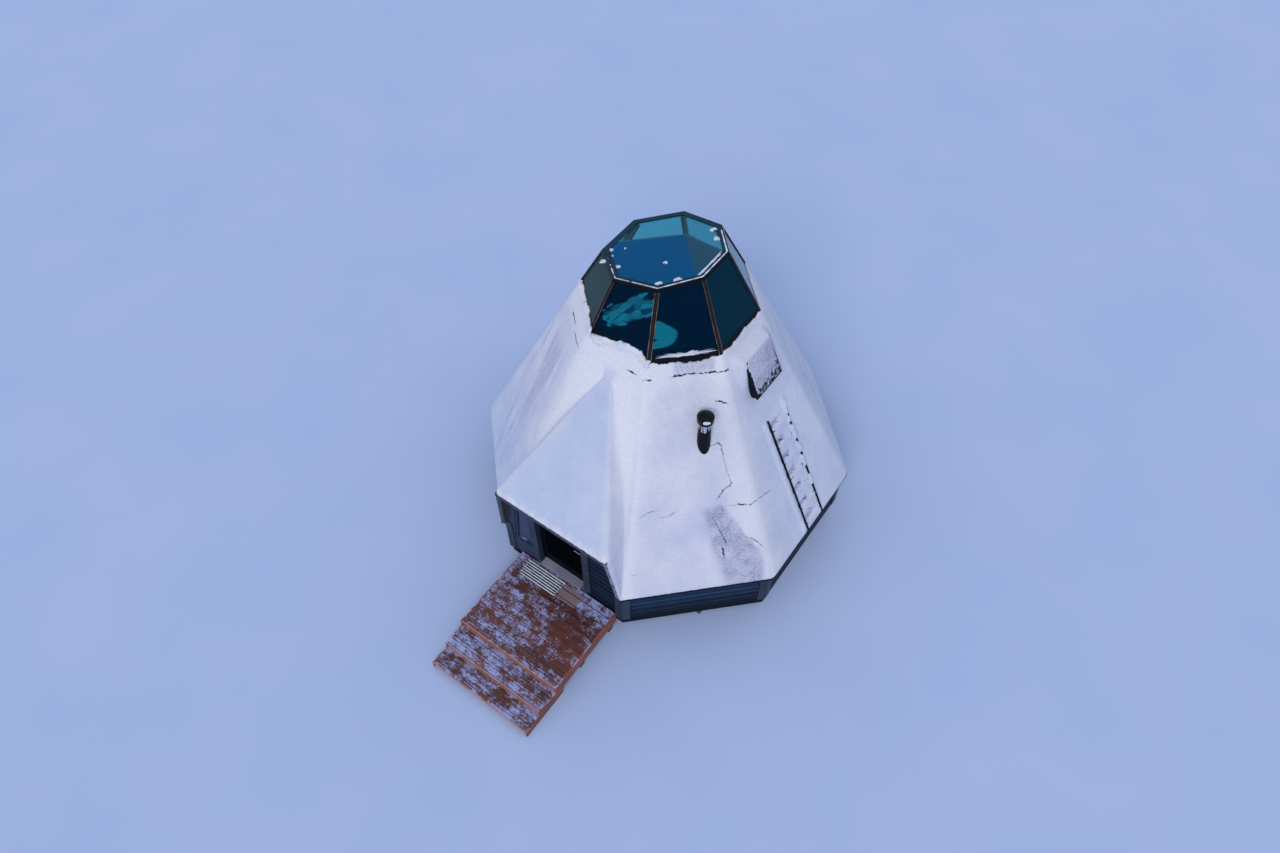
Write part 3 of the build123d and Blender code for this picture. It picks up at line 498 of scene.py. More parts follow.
depth = depth + ladder_bed * (0.020 + 0.010 * ripple(filled, 0.08, 4) - 0.030 * dents)
bare_runs = ((0.05, 0.68), (0.92, 1.08), (1.34, 1.38), (1.63, 1.66), (1.97, 2.0), (2.14, 2.17))
bare = sum(smooth(up, low - 0.03, low) * (1 - smooth(up, high, high + 0.03)) for low, high in bare_runs)
right_rail = patch(across, up, 0.25, 0.33, 0.05, 2.45, 0.025) * (1 - bare) * 0.044
left_rail = patch(across, up, -0.27, -0.185, 0.05, 2.40, 0.03) * (0.026 + 0.008 * smooth(up, 1.4, 1.5))
rail_drifts = on_right * (right_rail + left_rail)
depth = depth + rail_drifts * (1 + 0.35 * ripple(filled, 0.1, 6))
depth = depth + 0.128 * behind_hatch
near_top = smooth(heights, 4.60, 4.70)
depth = depth + 0.008 * near_top
from_lip = (heights - lip_height) / lip_round
from_lip = np.where((np.arange(columns) <= starts[1])[None, :] & (heights >= lip_height - 1e-6), from_lip, 9)
cheek_edge = np.minimum(abs(np.arange(columns) - starts[1]), abs((np.arange(columns) + 3) % columns - 3))
from_cheek = np.where(heights < lip_height - 1e-6, cheek_edge[None, :] / 4, 9)
from_rim = (rim[None, :] - heights) / rim_round
from_eave = (heights - eave_height) / eave_round
shape = bulge(from_eave) * bulge(from_lip) * bulge(from_cheek) * bulge(from_rim)
foot = -0.004 + 0.014 * near_top
depth = foot + (depth - foot) * shape
crust = filled + depth[..., None] * facing(filled)
fringe = np.where(from_lip < 1, (1 - from_lip) * (0.016 + 0.018 * ripple(crust * (1, 0.2, 0.2), 0.03, 7)), 0)
fringe = fringe + np.where(from_eave < 1, (1 - from_eave) * (0.004 + 0.008 * ripple(crust, 0.04, 8)), 0)
crust[..., 2] -= fringe
under = skin - crust_under * facing(skin)

# worn snow, where the felt greys it: below the dome, at the lower right of the right front side and in streaks on the
# left front side; and between the rungs, painted shadow just above each rung
across, up = on_side(crust, -45)[:2]
on_right_front = (stretch_of == RIGHT_FRONT)[None, :]
slanting = across + 0.25 * up + 0.12 * ripple(crust, 0.3, 23)
low_corner = smooth(slanting, 0.38, 0.55)
low_corner = low_corner * (1 - smooth(across + 0.62 * up + 0.05 * ripple(crust, 0.12, 24), 1.32, 1.42))
low_corner = low_corner * (1 - smooth(across, 1.0, 1.15)) * (1 - smooth(up, 1.38, 1.6))
worn = on_right_front * (low_corner * (0.80 + 0.3 * ripple(crust, 0.14, 21))
                         + 0.7 * patch(across, up, -0.17, 0.41, 3.70, 4.0, 0.035)
                         + 0.35 * patch(across, up, 0.30, 0.5, 1.35, 1.75, 0.12))
across, up = on_side(crust, -135)[:2]
streak = ripple(np.stack([(across + 0.1 * up) / 0.10, up / 0.9, 0 * up], -1), 1.0, 22)
on_left_front = (stretch_of == LEFT_FRONT)[None, :]
# painted shadow just above each rung, where the dents are, greyed like worn snow
worn = worn + 1.3 * ladder_bed * dents
worn = worn + on_left_front * 0.7 * patch(across, up, -0.75, 0.35, 0.1, 3.1, 0.25) * smooth(streak, -0.4, 0.7)
worn = np.clip(worn, 0, 1)

# painted shade and light of the snow, given as how blue it is: bluer painted shade on the dormer and on the sides that
# look away from the light, and painted light, below 0, on the cheeks and slivers beside the dormer
painted_shade_by_side = {DORMER: 1.0, CHEEK: -0.2, SLIVER: -0.5, RIGHT_FRONT: 0.15, RIGHT: 0.55, LEFT_FRONT: 0.30,
            LEFT_SLIVER: -0.65, LEFT_CHEEK: -0.45}
blue = np.array([painted_shade_by_side.get(number, 0.6) for number in stretch_of]) + 0 * heights
for _ in range(90):
    blue = (np.roll(blue, 1, 1) + np.roll(blue, -1, 1)) / 4 + blue / 2
above_apex = smooth(heights, apex.z - 0.15, apex.z + 0.1)
in_front = np.isin(stretch_of, (DORMER, CHEEK, SLIVER, LEFT_SLIVER, LEFT_CHEEK))[None, :]
blue = np.where(in_front, blue * (1 - above_apex), blue)
# painted light along the dormer's lip: its edge is whiter, in ragged teeth
teeth = ripple(crust * (1, 0.1, 0.1), 0.028, 26)
lip_edge = 1 - smooth(from_lip, 0.3, 1.7 + 1.2 * teeth)
blue = blue * (1 - lip_edge) - (0.35 + 0.5 * teeth) * lip_edge
half_side = apothem(heights) * math.tan(eighth)
across = on_side(crust, -45)[0]
# painted light and shade: less blue along a lit strip of the right front side and near the hips of the right front and
# right sides, bluer low on the left front side and less blue high on it, and less blue towards the dome
lit_strip = on_right_front * smooth(across / half_side, 0.35, 0.95)
from_hip = across + half_side
blue = blue - 0.5 * on_right_front * (1 - smooth(from_hip, -0.05, 0.42))
beside_hip = on_side(crust, 0)[0] + half_side
blue = blue - 0.55 * (stretch_of == RIGHT)[None, :] * (1 - smooth(beside_hip, 0.0, 0.4))
blue = blue + on_left_front * (0.6 - 0.9 * smooth(heights, 1.4, 3.4)) - 0.4 * smooth(heights, 4.15, 4.5)
blue = np.clip(blue - 0.4 * lit_strip + 0.12 * ripple(crust, 0.5, 25), -0.5, 1)

# cracks and dents, and short strokes of painted shadow just above the ladder's rungs, by the roof side's direction,
# each a weight and a line of places. The signed distance to the nearest one is kept at every point, because it stays
# exact between points, and the material draws the line where it passes through 0.
cracks_and_rung_shadows = {
    -45: [(0.7, (0.31, 2.52), (0.42, 2.57)), (0.8, (0.42, 2.57), (0.46, 2.48), (0.48, 2.33)),
          (0.45, (0.48, 2.33), (0.53, 2.07), (0.59, 1.86)), (1.2, (0.59, 1.86), (0.58, 1.82)),
          (0.9, (0.55, 1.82), (0.45, 1.74), (0.39, 1.64)), (0.4, (0.56, 1.467), (0.67, 1.47)),
          (1.2, (0.67, 1.47), (0.78, 1.46), (0.885, 1.445)), (0.8, (0.885, 1.445), (0.95, 1.49)),
          (0.55, (-0.77, 1.48), (-0.69, 1.53), (-0.57, 1.557)), (0.45, (-0.45, 1.42), (-0.36, 1.43)),
          (0.7, (-0.36, 1.43), (-0.29, 1.48)), (0.7, (0.85, 0.847), (0.90, 0.82), (1.02, 0.68)),
          (0.6, (0.30, 1.28), (0.36, 1.12)), (0.9, (0.37, 1.08), (0.41, 1.0), (0.47, 0.83)),
          (1.7, (0.42, 0.71), (0.44, 0.56)), (1.5, (0.43, 3.22), (0.52, 3.18)),
          (1.6, (-0.16, 3.685), (-0.02, 3.69)), (1.2, (0.03, 3.69), (0.22, 3.68), (0.40, 3.68)),
          (1.4, (0.46, 3.66), (0.63, 3.67)), (0.5, (-0.96, 0.46), (-0.95, 0.46))],
    # on this side the first line is a crack, and the six short strokes after it are painted shadows just above the
    # rungs
    0: [(0.7, (-0.93, 1.475), (-0.81, 1.447), (-0.62, 1.38)), (1.3, (-0.02, 1.90), (0.01, 1.88)),
        (1.2, (-0.01, 1.56), (0.02, 1.54)), (1.3, (-0.05, 1.30), (0.0, 1.29)), (1.0, (0.0, 0.94), (0.02, 0.93)),
        (1.1, (0.03, 0.59), (0.06, 0.57)), (0.9, (0.02, 0.36), (0.06, 0.34))],
    -90: [(1.6, (0.29, 3.674), (0.33, 3.67)), (1.7, (0.56, 3.67), (0.62, 3.69)),
          (0.5, (-0.47, 1.47), (-0.43, 1.58), (-0.38, 1.76))],
    45: [(2.0, (0.27, 1.88), (0.06, 1.66), (0.02, 1.30)), (1.8, (0.067, 0.96), (-0.25, 0.75), (-0.46, 0.52))],
    -135: [(1.5, (-0.17, 3.57), (0.02, 3.58)), (1.5, (0.20, 3.52), (0.46, 3.53))],
}
crack = np.full(heights.shape, 1.0)
crack_weight = np.zeros(heights.shape)
legs = [(degrees, weight, *leg) for degrees, lines in cracks_and_rung_shadows.items() for weight, *bends in lines
        for leg in zip(bends[:-1], bends[1:])]
for degrees, weight, (a0, u0), (a1, u1) in legs:
    across, up, out = on_side(crust, degrees)
    length = math.hypot(a1 - a0, u1 - u0)
    run_a, run_u = (a1 - a0) / length, (u1 - u0) / length
    along = (across - a0) * run_a + (up - u0) * run_u
    aside = (across - a0) * run_u - (up - u0) * run_a
    away = np.hypot(aside, np.maximum(np.maximum(-along, along - length), 0))
    closer = (away < abs(crack)) & (out > -0.02) & (out < 0.12)
    crack = np.where(closer, np.where(aside < 0, -1, 1) * away, crack)
    crack_weight = np.where(closer, weight, crack_weight)
crack_weight = crack_weight * (1 - smooth(abs(crack), 0.04, 0.09))

# snow crust: matt white that scatters light, lilac-white in painted light and bluer in painted shade, with grey felt
# through thin places, holes melted to the felt where it is most worn, thin dark cracks, and short strokes and grey
# patches of painted shadow just above the ladder's rungs
snow, tree, shader = new_material("wind-packed snow", Roughness=0.85, Specular_IOR_Level=0.25)
place = node(tree, "TexCoord", out="Object")
worn_and_shadow_read, painted_shade_and_light_read, crack_and_shadow_read, weight_read = (
    node(tree, "Attribute " + name, out="Fac") for name in ("worn", "fresh", "crack", "crack_weight"))
broad = node(tree, "TexNoise", place, 1.6, 9.0, 0.66)
broad = node(tree, "MapRange", broad, 0.3, 0.7)
# painted light and shade: the lit copy of the snow is lilac-white, the shaded copy is bluer, and the attribute mixes
# them
packed = node(tree, "Mix RGBA", broad, linear("#C8CDE2"), linear("#E1E3ED"))
soft = node(tree, "Mix RGBA", broad, linear("#B3C3E0"), linear("#C4D1E8"))
colour = node(tree, "Mix RGBA", painted_shade_and_light_read, packed, soft)
# below 0 the attribute gives painted light, a brighter white
bright = node(tree, "MapRange", painted_shade_and_light_read, 0.0, -0.4)
colour = node(tree, "Mix RGBA", bright, colour, linear("#E2E5EF"))
grains = node(tree, "TexNoise", place, 1 / 0.018, 5.0, 0.7)
flat = node(tree, "Mapping", place, Scale=(1, 1, 2.2))
scratch = node(tree, "TexNoise", flat, 1 / 0.03, 6.0, 0.8, Distortion=0.8)
scratch = node(tree, "MapRange", scratch, 0.32, 0.68)
hollowed = node(tree, "MapRange", worn_and_shadow_read, 0.9, 1.7, -0.12, 0.20)
worn_and_shadow_read = node(tree, "Math MINIMUM", worn_and_shadow_read, 0.95)
thin = node(tree, "Math MULTIPLY_ADD", worn_and_shadow_read, 0.6, scratch)
thin = node(tree, "MapRange", thin, 0.90, 1.45, To_Max=0.85)
thin = node(tree, "Math MINIMUM", thin, node(tree, "Math MULTIPLY", worn_and_shadow_read, 4.0))
pores = node(tree, "MapRange", grains, 0.42, 0.72, To_Max=0.42)
grey = node(tree, "Math MULTIPLY", worn_and_shadow_read, 0.55)
holes = node(tree, "TexNoise", place, 1 / 0.05, 4.0, 0.7)
holes = node(tree, "Math ADD", holes, hollowed)
holes = node(tree, "MapRange", holes, 0.66, 0.70)
wander = node(tree, "TexNoise", place, 1 / 0.07, 4.0, 0.7)
wander = node(tree, "Math SUBTRACT", wander, 0.5)
aside = node(tree, "Math MULTIPLY_ADD", wander, 0.07, crack_and_shadow_read)
aside = node(tree, "Math ABSOLUTE", aside)
broken = node(tree, "TexNoise", place, 1 / 0.045, 2.0)
broken = node(tree, "MapRange", broken, 0.36, 0.6, To_Max=0.020)
reach = node(tree, "Math MULTIPLY", grains, broken)
reach = node(tree, "Math MULTIPLY", reach, weight_read)
line = node(tree, "Math SUBTRACT", reach, aside)
line = node(tree, "MapRange", line, -0.005, 0.005)
dark = node(tree, "MapRange", weight_read, 0.0, 1.1, 0.3)
line = node(tree, "Math MULTIPLY", line, dark)
for share, tint in ((pores, "#9BA6CA"), (grey, "#A8AFD6"), (thin, "#4A4C60"), (holes, "#171923"), (line, "#2B2E3C")):
    colour = node(tree, "Mix RGBA", share, colour, linear(tint))
lumps = node(tree, "TexNoise", place, 1 / 0.16, 6.0, 0.6)
height = node(tree, "Math MULTIPLY_ADD", grains, 0.3, lumps)
height = node(tree, "Math MULTIPLY_ADD", line, -0.8, height)
finish(tree, shader, colour, height=height, depth=0.013)


def add_piece(name, points, faces, material, reads=()):
    """Makes a mesh of the points that the arrays of faces use, with the values that its material reads at each point,
    and lets it ride on the hut."""
    used, numbers = np.unique(np.concatenate([part.ravel() for part in faces]), return_inverse=True)
    runs = np.split(numbers, np.cumsum([part.size for part in faces])[:-1])
    sides = [side for part, run in zip(faces, runs) for side in run.reshape(part.shape).tolist()]
    mesh = bpy.data.meshes.new(name)
    mesh.from_pydata(points.reshape(-1, 3)[used].tolist(), [], sides)
    mesh.materials.append(material)
    mesh.polygons.foreach_set("use_smooth", [True] * len(mesh.polygons))
    for read, values in dict(reads).items():
        values = values.reshape(-1)[used].astype(np.float32)
        mesh.attributes.new(read, "FLOAT", "POINT").data.foreach_set("value", values)
    piece = bpy.data.objects.new(name, mesh)
    bpy.context.scene.collection.objects.link(piece)
    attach(piece, "hut")
    return piece, used


def shell_faces(solid):
    """Faces of a crust between an outer and an inner grid of points, where a cell is solid: the outer and the inner
    cells, and a wall wherever a solid cell has no solid neighbour."""
    top = np.arange((solid.shape[0] + 1) * (solid.shape[1] + 1)).reshape(solid.shape[0] + 1, -1)
    corners = [top[:-1, :-1], top[:-1, 1:], top[1:, 1:], top[1:, :-1]]
    ringed = np.pad(solid, 1)
    beside = [ringed[:-2, 1:-1], ringed[1:-1, 2:], ringed[2:, 1:-1], ringed[1:-1, :-2]]
    faces = [np.stack(corners, -1)[solid], np.stack(corners[::-1], -1)[solid] + top.size]
    for i in range(4):
        first, second = corners[i], corners[(i + 1) % 4]
        wall = np.stack([second, first, first + top.size, second + top.size], -1)
        faces.append(wall[solid & ~beside[i]])
    return faces


# the crust is open at the doorway, under the hatch and round the flue
under_frame, flue_hole = 0.02, 0.075
normals = facing(crust)
middle = (crust[:-1] + crust[1:]) / 2
middle = (middle + np.roll(middle, -1, 1)) / 2
across, up = on_side(middle, 0)[:2]
solid = np.ones(middle.shape[:2], bool)
solid[:lip_row, :starts[1]] = False
solid &= ~(on_right & (across > hatch_left + under_frame) & (across < hatch_right - under_frame)
           & (up > hatch_low + under_frame) & (up < hatch_high - under_frame))
flue = (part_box("chimney_pipe")[0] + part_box("chimney_pipe")[1]) / 2
solid &= np.hypot(middle[..., 0] - flue.x, middle[..., 1] - flue.y) > flue_hole
parts = {"snow_front": (starts[LEFT_SLIVER] - columns, starts[RIGHT_FRONT]),
         "snow_right_front": (starts[RIGHT_FRONT], starts[RIGHT]),
         "snow_right": (starts[RIGHT], starts[RIGHT_BACK]), "snow_back": (starts[RIGHT_BACK], starts[LEFT_FRONT]),
         "snow_left_front": (starts[LEFT_FRONT], starts[LEFT_SLIVER])}
for name, (first, last) in parts.items():
    points_at = np.arange(first, last + 1) % columns
    cells_at = np.arange(first, last) % columns
    both = np.stack([crust[:, points_at], under[:, points_at]])
    reads = {read: np.stack([values[:, points_at]] * 2) for read, values in (
        ("worn", worn), ("fresh", blue), ("crack", crack), ("crack_weight", crack_weight))}
    piece, used = add_piece(name, both, shell_faces(solid[:, cells_at]), snow, reads)
    twice = np.stack([normals[:, points_at]] * 2).reshape(-1, 3)[used]
    piece.data.normals_split_custom_set_from_vertices(twice.tolist())


# Glass dome: curb, apron, glazing bars and top ring.
# Extruded aluminium with a black powder coat, screwed to the trimmed rafters. The coat has a fine orange-peel skin.
black_coat, tree, shader = new_material("black powder coat", Roughness=0.5, Specular_IOR_Level=0.1)
place = node(tree, "TexCoord", out="Object")
peel = node(tree, "TexNoise", place, 1 / 0.006, 2.0)
dust = node(tree, "TexNoise", place, 1 / 0.12, 5.0)
colour = node(tree, "Mix RGBA", dust, linear("#04060A"), linear("#0E131D"))
rough = node(tree, "MapRange", dust, To_Min=0.35, To_Max=0.65)
finish(tree, shader, colour, rough, peel, 0.0005)
cover(black_coat, "cupola_curb", "cupola_apron", "cupola_bars", "hatch_frame", "roof_ladder", "chimney_flashing")

# the top ring: black on its sides, and on top the glass's own enamelled border, dark blue and glossy
border, tree, shader = new_material("enamelled glass border", Roughness=0.08, Specular_IOR_Level=0.12)
where = node(tree, "TexCoord").node.outputs
up = node(tree, "SeparateXYZ", where["Normal"], out=2)
up = node(tree, "Math GREATER_THAN", up, 0.7)
cloud = node(tree, "TexNoise", where["Object"], 1 / 0.3, 4.0)
blue = node(tree, "Mix RGBA", cloud, linear("#03202F"), linear("#083C55"))
colour = node(tree, "Mix RGBA", up, linear("#05070C"), blue)
finish(tree, shader, colour, height=cloud, depth=0.0005)
cover(border, "cupola_top_frame")

# the caps over the bars: the same black, and on the three front ones it is worn to the bronze anodised metal in a
# thin line along both edges
worn_from, worn_to = 0.0265, 0.0280
bar_caps, tree, shader = new_material("bronze edged black cap", Roughness=0.45, Specular_IOR_Level=0.25)
distance, off = off_centre(tree, 0.5)
aside = node(tree, "Math MULTIPLY", distance, off)
edge = node(tree, "MapRange", aside, worn_from, worn_to)
where = node(tree, "TexCoord").node.outputs
up = node(tree, "SeparateXYZ", where["Normal"], out=2)
up = node(tree, "Math GREATER_THAN", up, 0.3)
edge = node(tree, "Math MULTIPLY", edge, up)
stain = node(tree, "TexNoise", where["Object"], 1 / 0.08, 4.0, 0.7)
worn_off = node(tree, "MapRange", stain, 0.35, 0.6, 0.15)
front_bar = node(tree, "VectorMath DOT_PRODUCT", where["Object"], (math.cos(3 * eighth), -math.sin(3 * eighth), 0))
front_bar = node(tree, "MapRange", front_bar, 0.45, 0.95)
worn_off = node(tree, "Math MULTIPLY", worn_off, front_bar)
bronze = node(tree, "Mix RGBA", worn_off, linear("#1B1715"), linear("#C08C68"))
colour = node(tree, "Mix RGBA", edge, linear("#070A10"), bronze)
finish(tree, shader, colour, height=stain, depth=0.0005)
cover(bar_caps, "cupola_bar_caps")


# Panes of the dome, the hatch, the door and the window.
# Solar control glass, tinted blue-green in the melt and coated, so that what is behind it is dark teal. Ice clouds it
# in places, teal patches of painted light lie on the front panes, and a blue patch of painted light lies over the front
# of the top pane.

def side_place(degrees, across, up, out):
    """Point of a roof side that looks in that direction, from metres across, up the slope and out of its skin, with the
    directions across and up the slope."""
    angle = math.radians(degrees)
    look = np.array([math.cos(angle), math.sin(angle), 0])
    level = np.array([-math.sin(angle), math.cos(angle), 0])
    slope = np.array([0, 0, math.sin(pitch)]) - look * math.cos(pitch)
    foot = look * eave_reach + np.array([0, 0, eave_height])
    normal = look * math.sin(pitch) + np.array([0, 0, math.cos(pitch)])
    return foot + level * across + slope * up + normal * out, level, slope


def towards(degrees):
    """Level direction at that angle of the plan."""
    return math.cos(math.radians(degrees)), math.sin(math.radians(degrees)), 0


def tinted(name, tint, haze_and_light, clear, patch, share, sides=(), painted_light_spots=(), painted_light_patches=(), bend=1.2):
    """Tinted glass whose clear part passes light and whose clouded part is matt, by a noise of that patch size. Each of
    the sides is a direction with a tint and a clearness for the pane there. A spot is a superellipse of painted light
    in
    the haze colour: the length of the squared offset from its middle over its half axes, broken into shards as much as
    it is ragged. A patch of painted light is a colour that lies beyond some lines, each given by a direction of the
    plan and a distance along it. The index of refraction, bend, is under glass's own 1.5, because coated or rimed panes
    mirror less, and the coating's mirror is blue."""
    material, tree, shader = new_material(name, Roughness=0.03, IOR=bend, Specular_Tint=(0.0, 0.6, 1.0, 1.0))
    place = node(tree, "TexCoord", out="Object")
    wave = node(tree, "TexNoise", place, 1.4, 1.0)
    cloud = node(tree, "TexNoise", place, 1 / patch, 5.0, 0.6)
    level = node(tree, "VectorMath MULTIPLY", place, (1, 1, 0))
    level = node(tree, "VectorMath NORMALIZE", level)
    colour, through = linear(tint), clear
    for degrees, other, clearness in sides:
        here = node(tree, "VectorMath DOT_PRODUCT", level, towards(degrees))
        here = node(tree, "Math GREATER_THAN", here, math.cos(eighth))
        colour = node(tree, "Mix RGBA", here, colour, linear(other))
        through = node(tree, "Mix", here, through, clearness)
    # each patch of painted light: a colour beyond its lines
    for lines, other, clearness in painted_light_patches:
        inside = 1.0
        for degrees, distance in lines:
            here = node(tree, "VectorMath DOT_PRODUCT", place, towards(degrees))
            here = node(tree, "Math MULTIPLY_ADD", cloud, 0.06, here)
            here = node(tree, "MapRange", here, distance + 0.01, distance + 0.05)
            inside = node(tree, "Math MULTIPLY", here, inside)
        colour = node(tree, "Mix RGBA", inside, colour, linear(other))
        through = node(tree, "Mix", inside, through, clearness)
    cloud_and_light_at = node(tree, "MapRange", cloud, 0.68 - share, 0.78 - share)
    # each spot: a ragged patch of painted light in the haze colour
    for degrees, across, up, turn, half_long, half_wide, ragged in painted_light_spots:
        middle, side_level, side_slope = side_place(degrees, across, up, 0.015)
        c, s, _ = towards(turn)
        offset = node(tree, "VectorMath SUBTRACT", place, middle)
        axes = ((side_level * c + side_slope * s) / half_long, (side_slope * c - side_level * s) / half_wide,
                np.cross(side_level, side_slope) / 0.03)
        both = node(tree, "CombineXYZ", *(node(tree, "VectorMath DOT_PRODUCT", offset, axis) for axis in axes))
        shards = node(tree, "TexVoronoi", both, 1.9, Randomness=1.0, out="Color")
        shards = node(tree, "SeparateXYZ", shards)
        both = node(tree, "VectorMath MULTIPLY", both, both)
        reach = node(tree, "VectorMath LENGTH", both)
        reach = node(tree, "Math MULTIPLY_ADD", shards, ragged, reach)
        spot = node(tree, "MapRange", reach, 1.15 + 0.5 * ragged, 0.8 + 0.5 * ragged)
        full = node(tree, "MapRange", shards, 0.2, 0.8, 1.0, 1.0 - ragged)
        spot = node(tree, "Math MULTIPLY", spot, full)
        cloud_and_light_at = node(tree, "Math MAXIMUM", cloud_and_light_at, spot)
    colour = node(tree, "Mix RGBA", cloud_and_light_at, colour, linear(haze_and_light))
    through = node(tree, "Mix", cloud_and_light_at, through, clear - 0.4)
    tree.links.new(through, shader.inputs["Transmission Weight"])
    finish(tree, shader, colour, height=wave, depth=0.004)
    return material


# the dome's sides: a pane's tint and clearness go by the way it faces, and four teal patches of painted light lie on
# the front panes. Over the front of the top pane lies a blue patch of painted light, paler at its right end.
side_glass = tinted(
    "blue-green solar glass", "#9CE4EA", "#22A5BF", 0.99, 0.22, -0.08,
    sides=[(-90, "#2C7FC0", 0.975), (-45, "#2C7FC0", 0.97), (0, "#0A86A8", 0.93), (-135, "#6C9C8C", 0.92)],
    painted_light_spots=[(-90, 0.05, 4.53, 40, 0.38, 0.15, 0.8), (-90, -0.17, 4.30, 28, 0.20, 0.11, 0.8),
           (-45, -0.28, 4.33, -38, 0.20, 0.13, 0.1), (-45, -0.33, 4.18, 5, 0.14, 0.06, 0.1)])
light_patch_edges = [(-56, -0.351), (-96.5, -0.382)]
top_glass = tinted("blue solar glass of the top", "#8FDCE0", "#8FDCE0", 0.96, 0.6, -0.4,
                   painted_light_patches=[(light_patch_edges, "#0076B4", 0.6), (light_patch_edges + [(44, 0.243)], "#3C7694", 0.6)])
cover(side_glass, "cupola_panes")
cover(top_glass, "cupola_top_pane")

# the window's pane is grey, a painted reflection of the snow, and the hatch's pane is grey with frost; the door's pane
# is nearly black
frost_and_reflection_glass = tinted("frosted glass with painted reflection", "#3A4560", "#3F4B6A", 0.4, 0.12, 0.7, bend=1.08)
cover(frost_and_reflection_glass, "window_glass", "hatch_pane")
near_black_glass = tinted("near-black door glass", "#060C14", "#04070C", 0.6, 0.3, 0.0, bend=1.03)
cover(near_black_glass, "door_glass")


# Chimney pipe and cap.
# Spun steel with black stove enamel, smooth and glossy. Meltwater from the cap has frozen down the pipe.

# black enamel: near black with a thin clear gloss over it
enamel, tree, shader = new_material("black stove enamel", Roughness=0.12, Specular_IOR_Level=0.1, Coat_Weight=0.2,
                                    Coat_Roughness=0.05)
place = node(tree, "TexCoord", out="Object")
soot = node(tree, "TexNoise", place, 1 / 0.04, 5.0)
colour = node(tree, "Mix RGBA", soot, linear("#020305"), linear("#0A0D12"))
finish(tree, shader, colour, height=soot, depth=0.0004)
cover(enamel, "chimney_cap")

# the pipe: the same enamel under pale runs of ice, which are thickest below the cap
pipe_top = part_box("chimney_pipe")[1].z
iced_from, iced_to = 0.50, 0.10
iced_pipe, tree, shader = new_material("black enamelled pipe with ice", Roughness=0.3, Specular_IOR_Level=0.2)
place = node(tree, "TexCoord", out="Object")
drips = node(tree, "Mapping", place, Scale=(1 / 0.018, 1 / 0.018, 1 / 0.35))
drips = node(tree, "TexNoise", drips, 1.0, 3.0)
high = node(tree, "SeparateXYZ", place, out=2)
high = node(tree, "MapRange", high, pipe_top - iced_from, pipe_top - iced_to, To_Max=0.22)
ice = node(tree, "Math ADD", drips, high)
ice = node(tree, "MapRange", ice, 0.62, 0.68, To_Max=0.9)
colour = node(tree, "Mix RGBA", ice, linear("#04070D"), linear("#C0C8E2"))
finish(tree, shader, colour, height=ice, depth=0.002)
cover(iced_pipe, "chimney_pipe")


# Door leaf, hinges and handles.
# The leaf is spruce under black stain, framed round one tall pane. Its hardware is brushed stainless steel.

# black stain: satin, with the grain hardly to be seen
door_stain, tree, shader = new_material("black stained spruce door", Roughness=0.5, Specular_IOR_Level=0.06)
colour, height, edge = grain(tree, "#020408", "#080D16", "z", 0.105, -0.5)
finish(tree, shader, colour, height=height, depth=0.0012)
cover(door_stain, "door_leaf")

# brushed steel: a grey mirror drawn out along fine lines
steel, tree, shader = new_material("brushed stainless steel", Metallic=1.0, Roughness=0.3)
place = node(tree, "TexCoord", out="Object")
brush = node(tree, "Mapping", place, Scale=(1500.0, 1500.0, 60.0))
brush = node(tree, "TexNoise", brush, 1.0, 3.0)
colour = node(tree, "Mix RGBA", brush, linear("#8B8D92"), linear("#C9CBD0"))
rough = node(tree, "MapRange", brush, To_Min=0.22, To_Max=0.4)
finish(tree, shader, colour, rough, brush, 0.0001)
cover(steel, "door_handles", "leaf_hinges", "frame_hinges")


# Deck, steps, skirts and threshold.
# Larch boards under red-brown oil, wet with meltwater, with hoar frost lying in patches. They are screwed from above.
house_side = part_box("deck_planks")[1].y
deck_edge, middle_edge, low_edge = -4.430, -4.822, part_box("deck_planks")[0].y
plank_width = 0.148
mat_x, mat_half_x, mat_off_wall, mat_half_y = 0.27, 0.19, 0.20, 0.13

# oiled larch: red-brown and satin where it is wet, and matt under the frost
wet_deck, tree, shader = new_material("red-brown oiled larch deck")
colour, height, edge = grain(tree, "#2E130E", "#6E3829", "x", plank_width, house_side)
gap = node(tree, "MapRange", edge, 0.02, 0.07, 0.75, 0.0)
x, y, z = node(tree, "SeparateXYZ", node(tree, "TexCoord", out="Object")).node.outputs
trodden = node(tree, "MapRange", x, 0.05, 0.55, To_Max=-0.09)
on_top_deck = node(tree, "Math GREATER_THAN", y, deck_edge + 0.2)
off_wall = node(tree, "MapRange", y, house_side - 0.36, house_side - 0.22, 1.0, -1.2)
trodden = node(tree, "Math MULTIPLY", trodden, on_top_deck)
trodden = node(tree, "Math MULTIPLY", trodden, off_wall)
# a dry pale place lies where feet come off the grate
dry_x = node(tree, "Math COMPARE", x, mat_x, mat_half_x)
dry_y = node(tree, "Math COMPARE", y, house_side - mat_off_wall, mat_half_y)
dry = node(tree, "Math MULTIPLY", dry_x, dry_y)
colour = node(tree, "Mix RGBA", dry, colour, linear("#86767A"))
trodden = node(tree, "Math MULTIPLY_ADD", dry, -0.25, trodden)
by_wall = node(tree, "MapRange", y, house_side - 0.36, house_side - 0.26, To_Max=0.05)
trodden = node(tree, "Math ADD", by_wall, trodden)
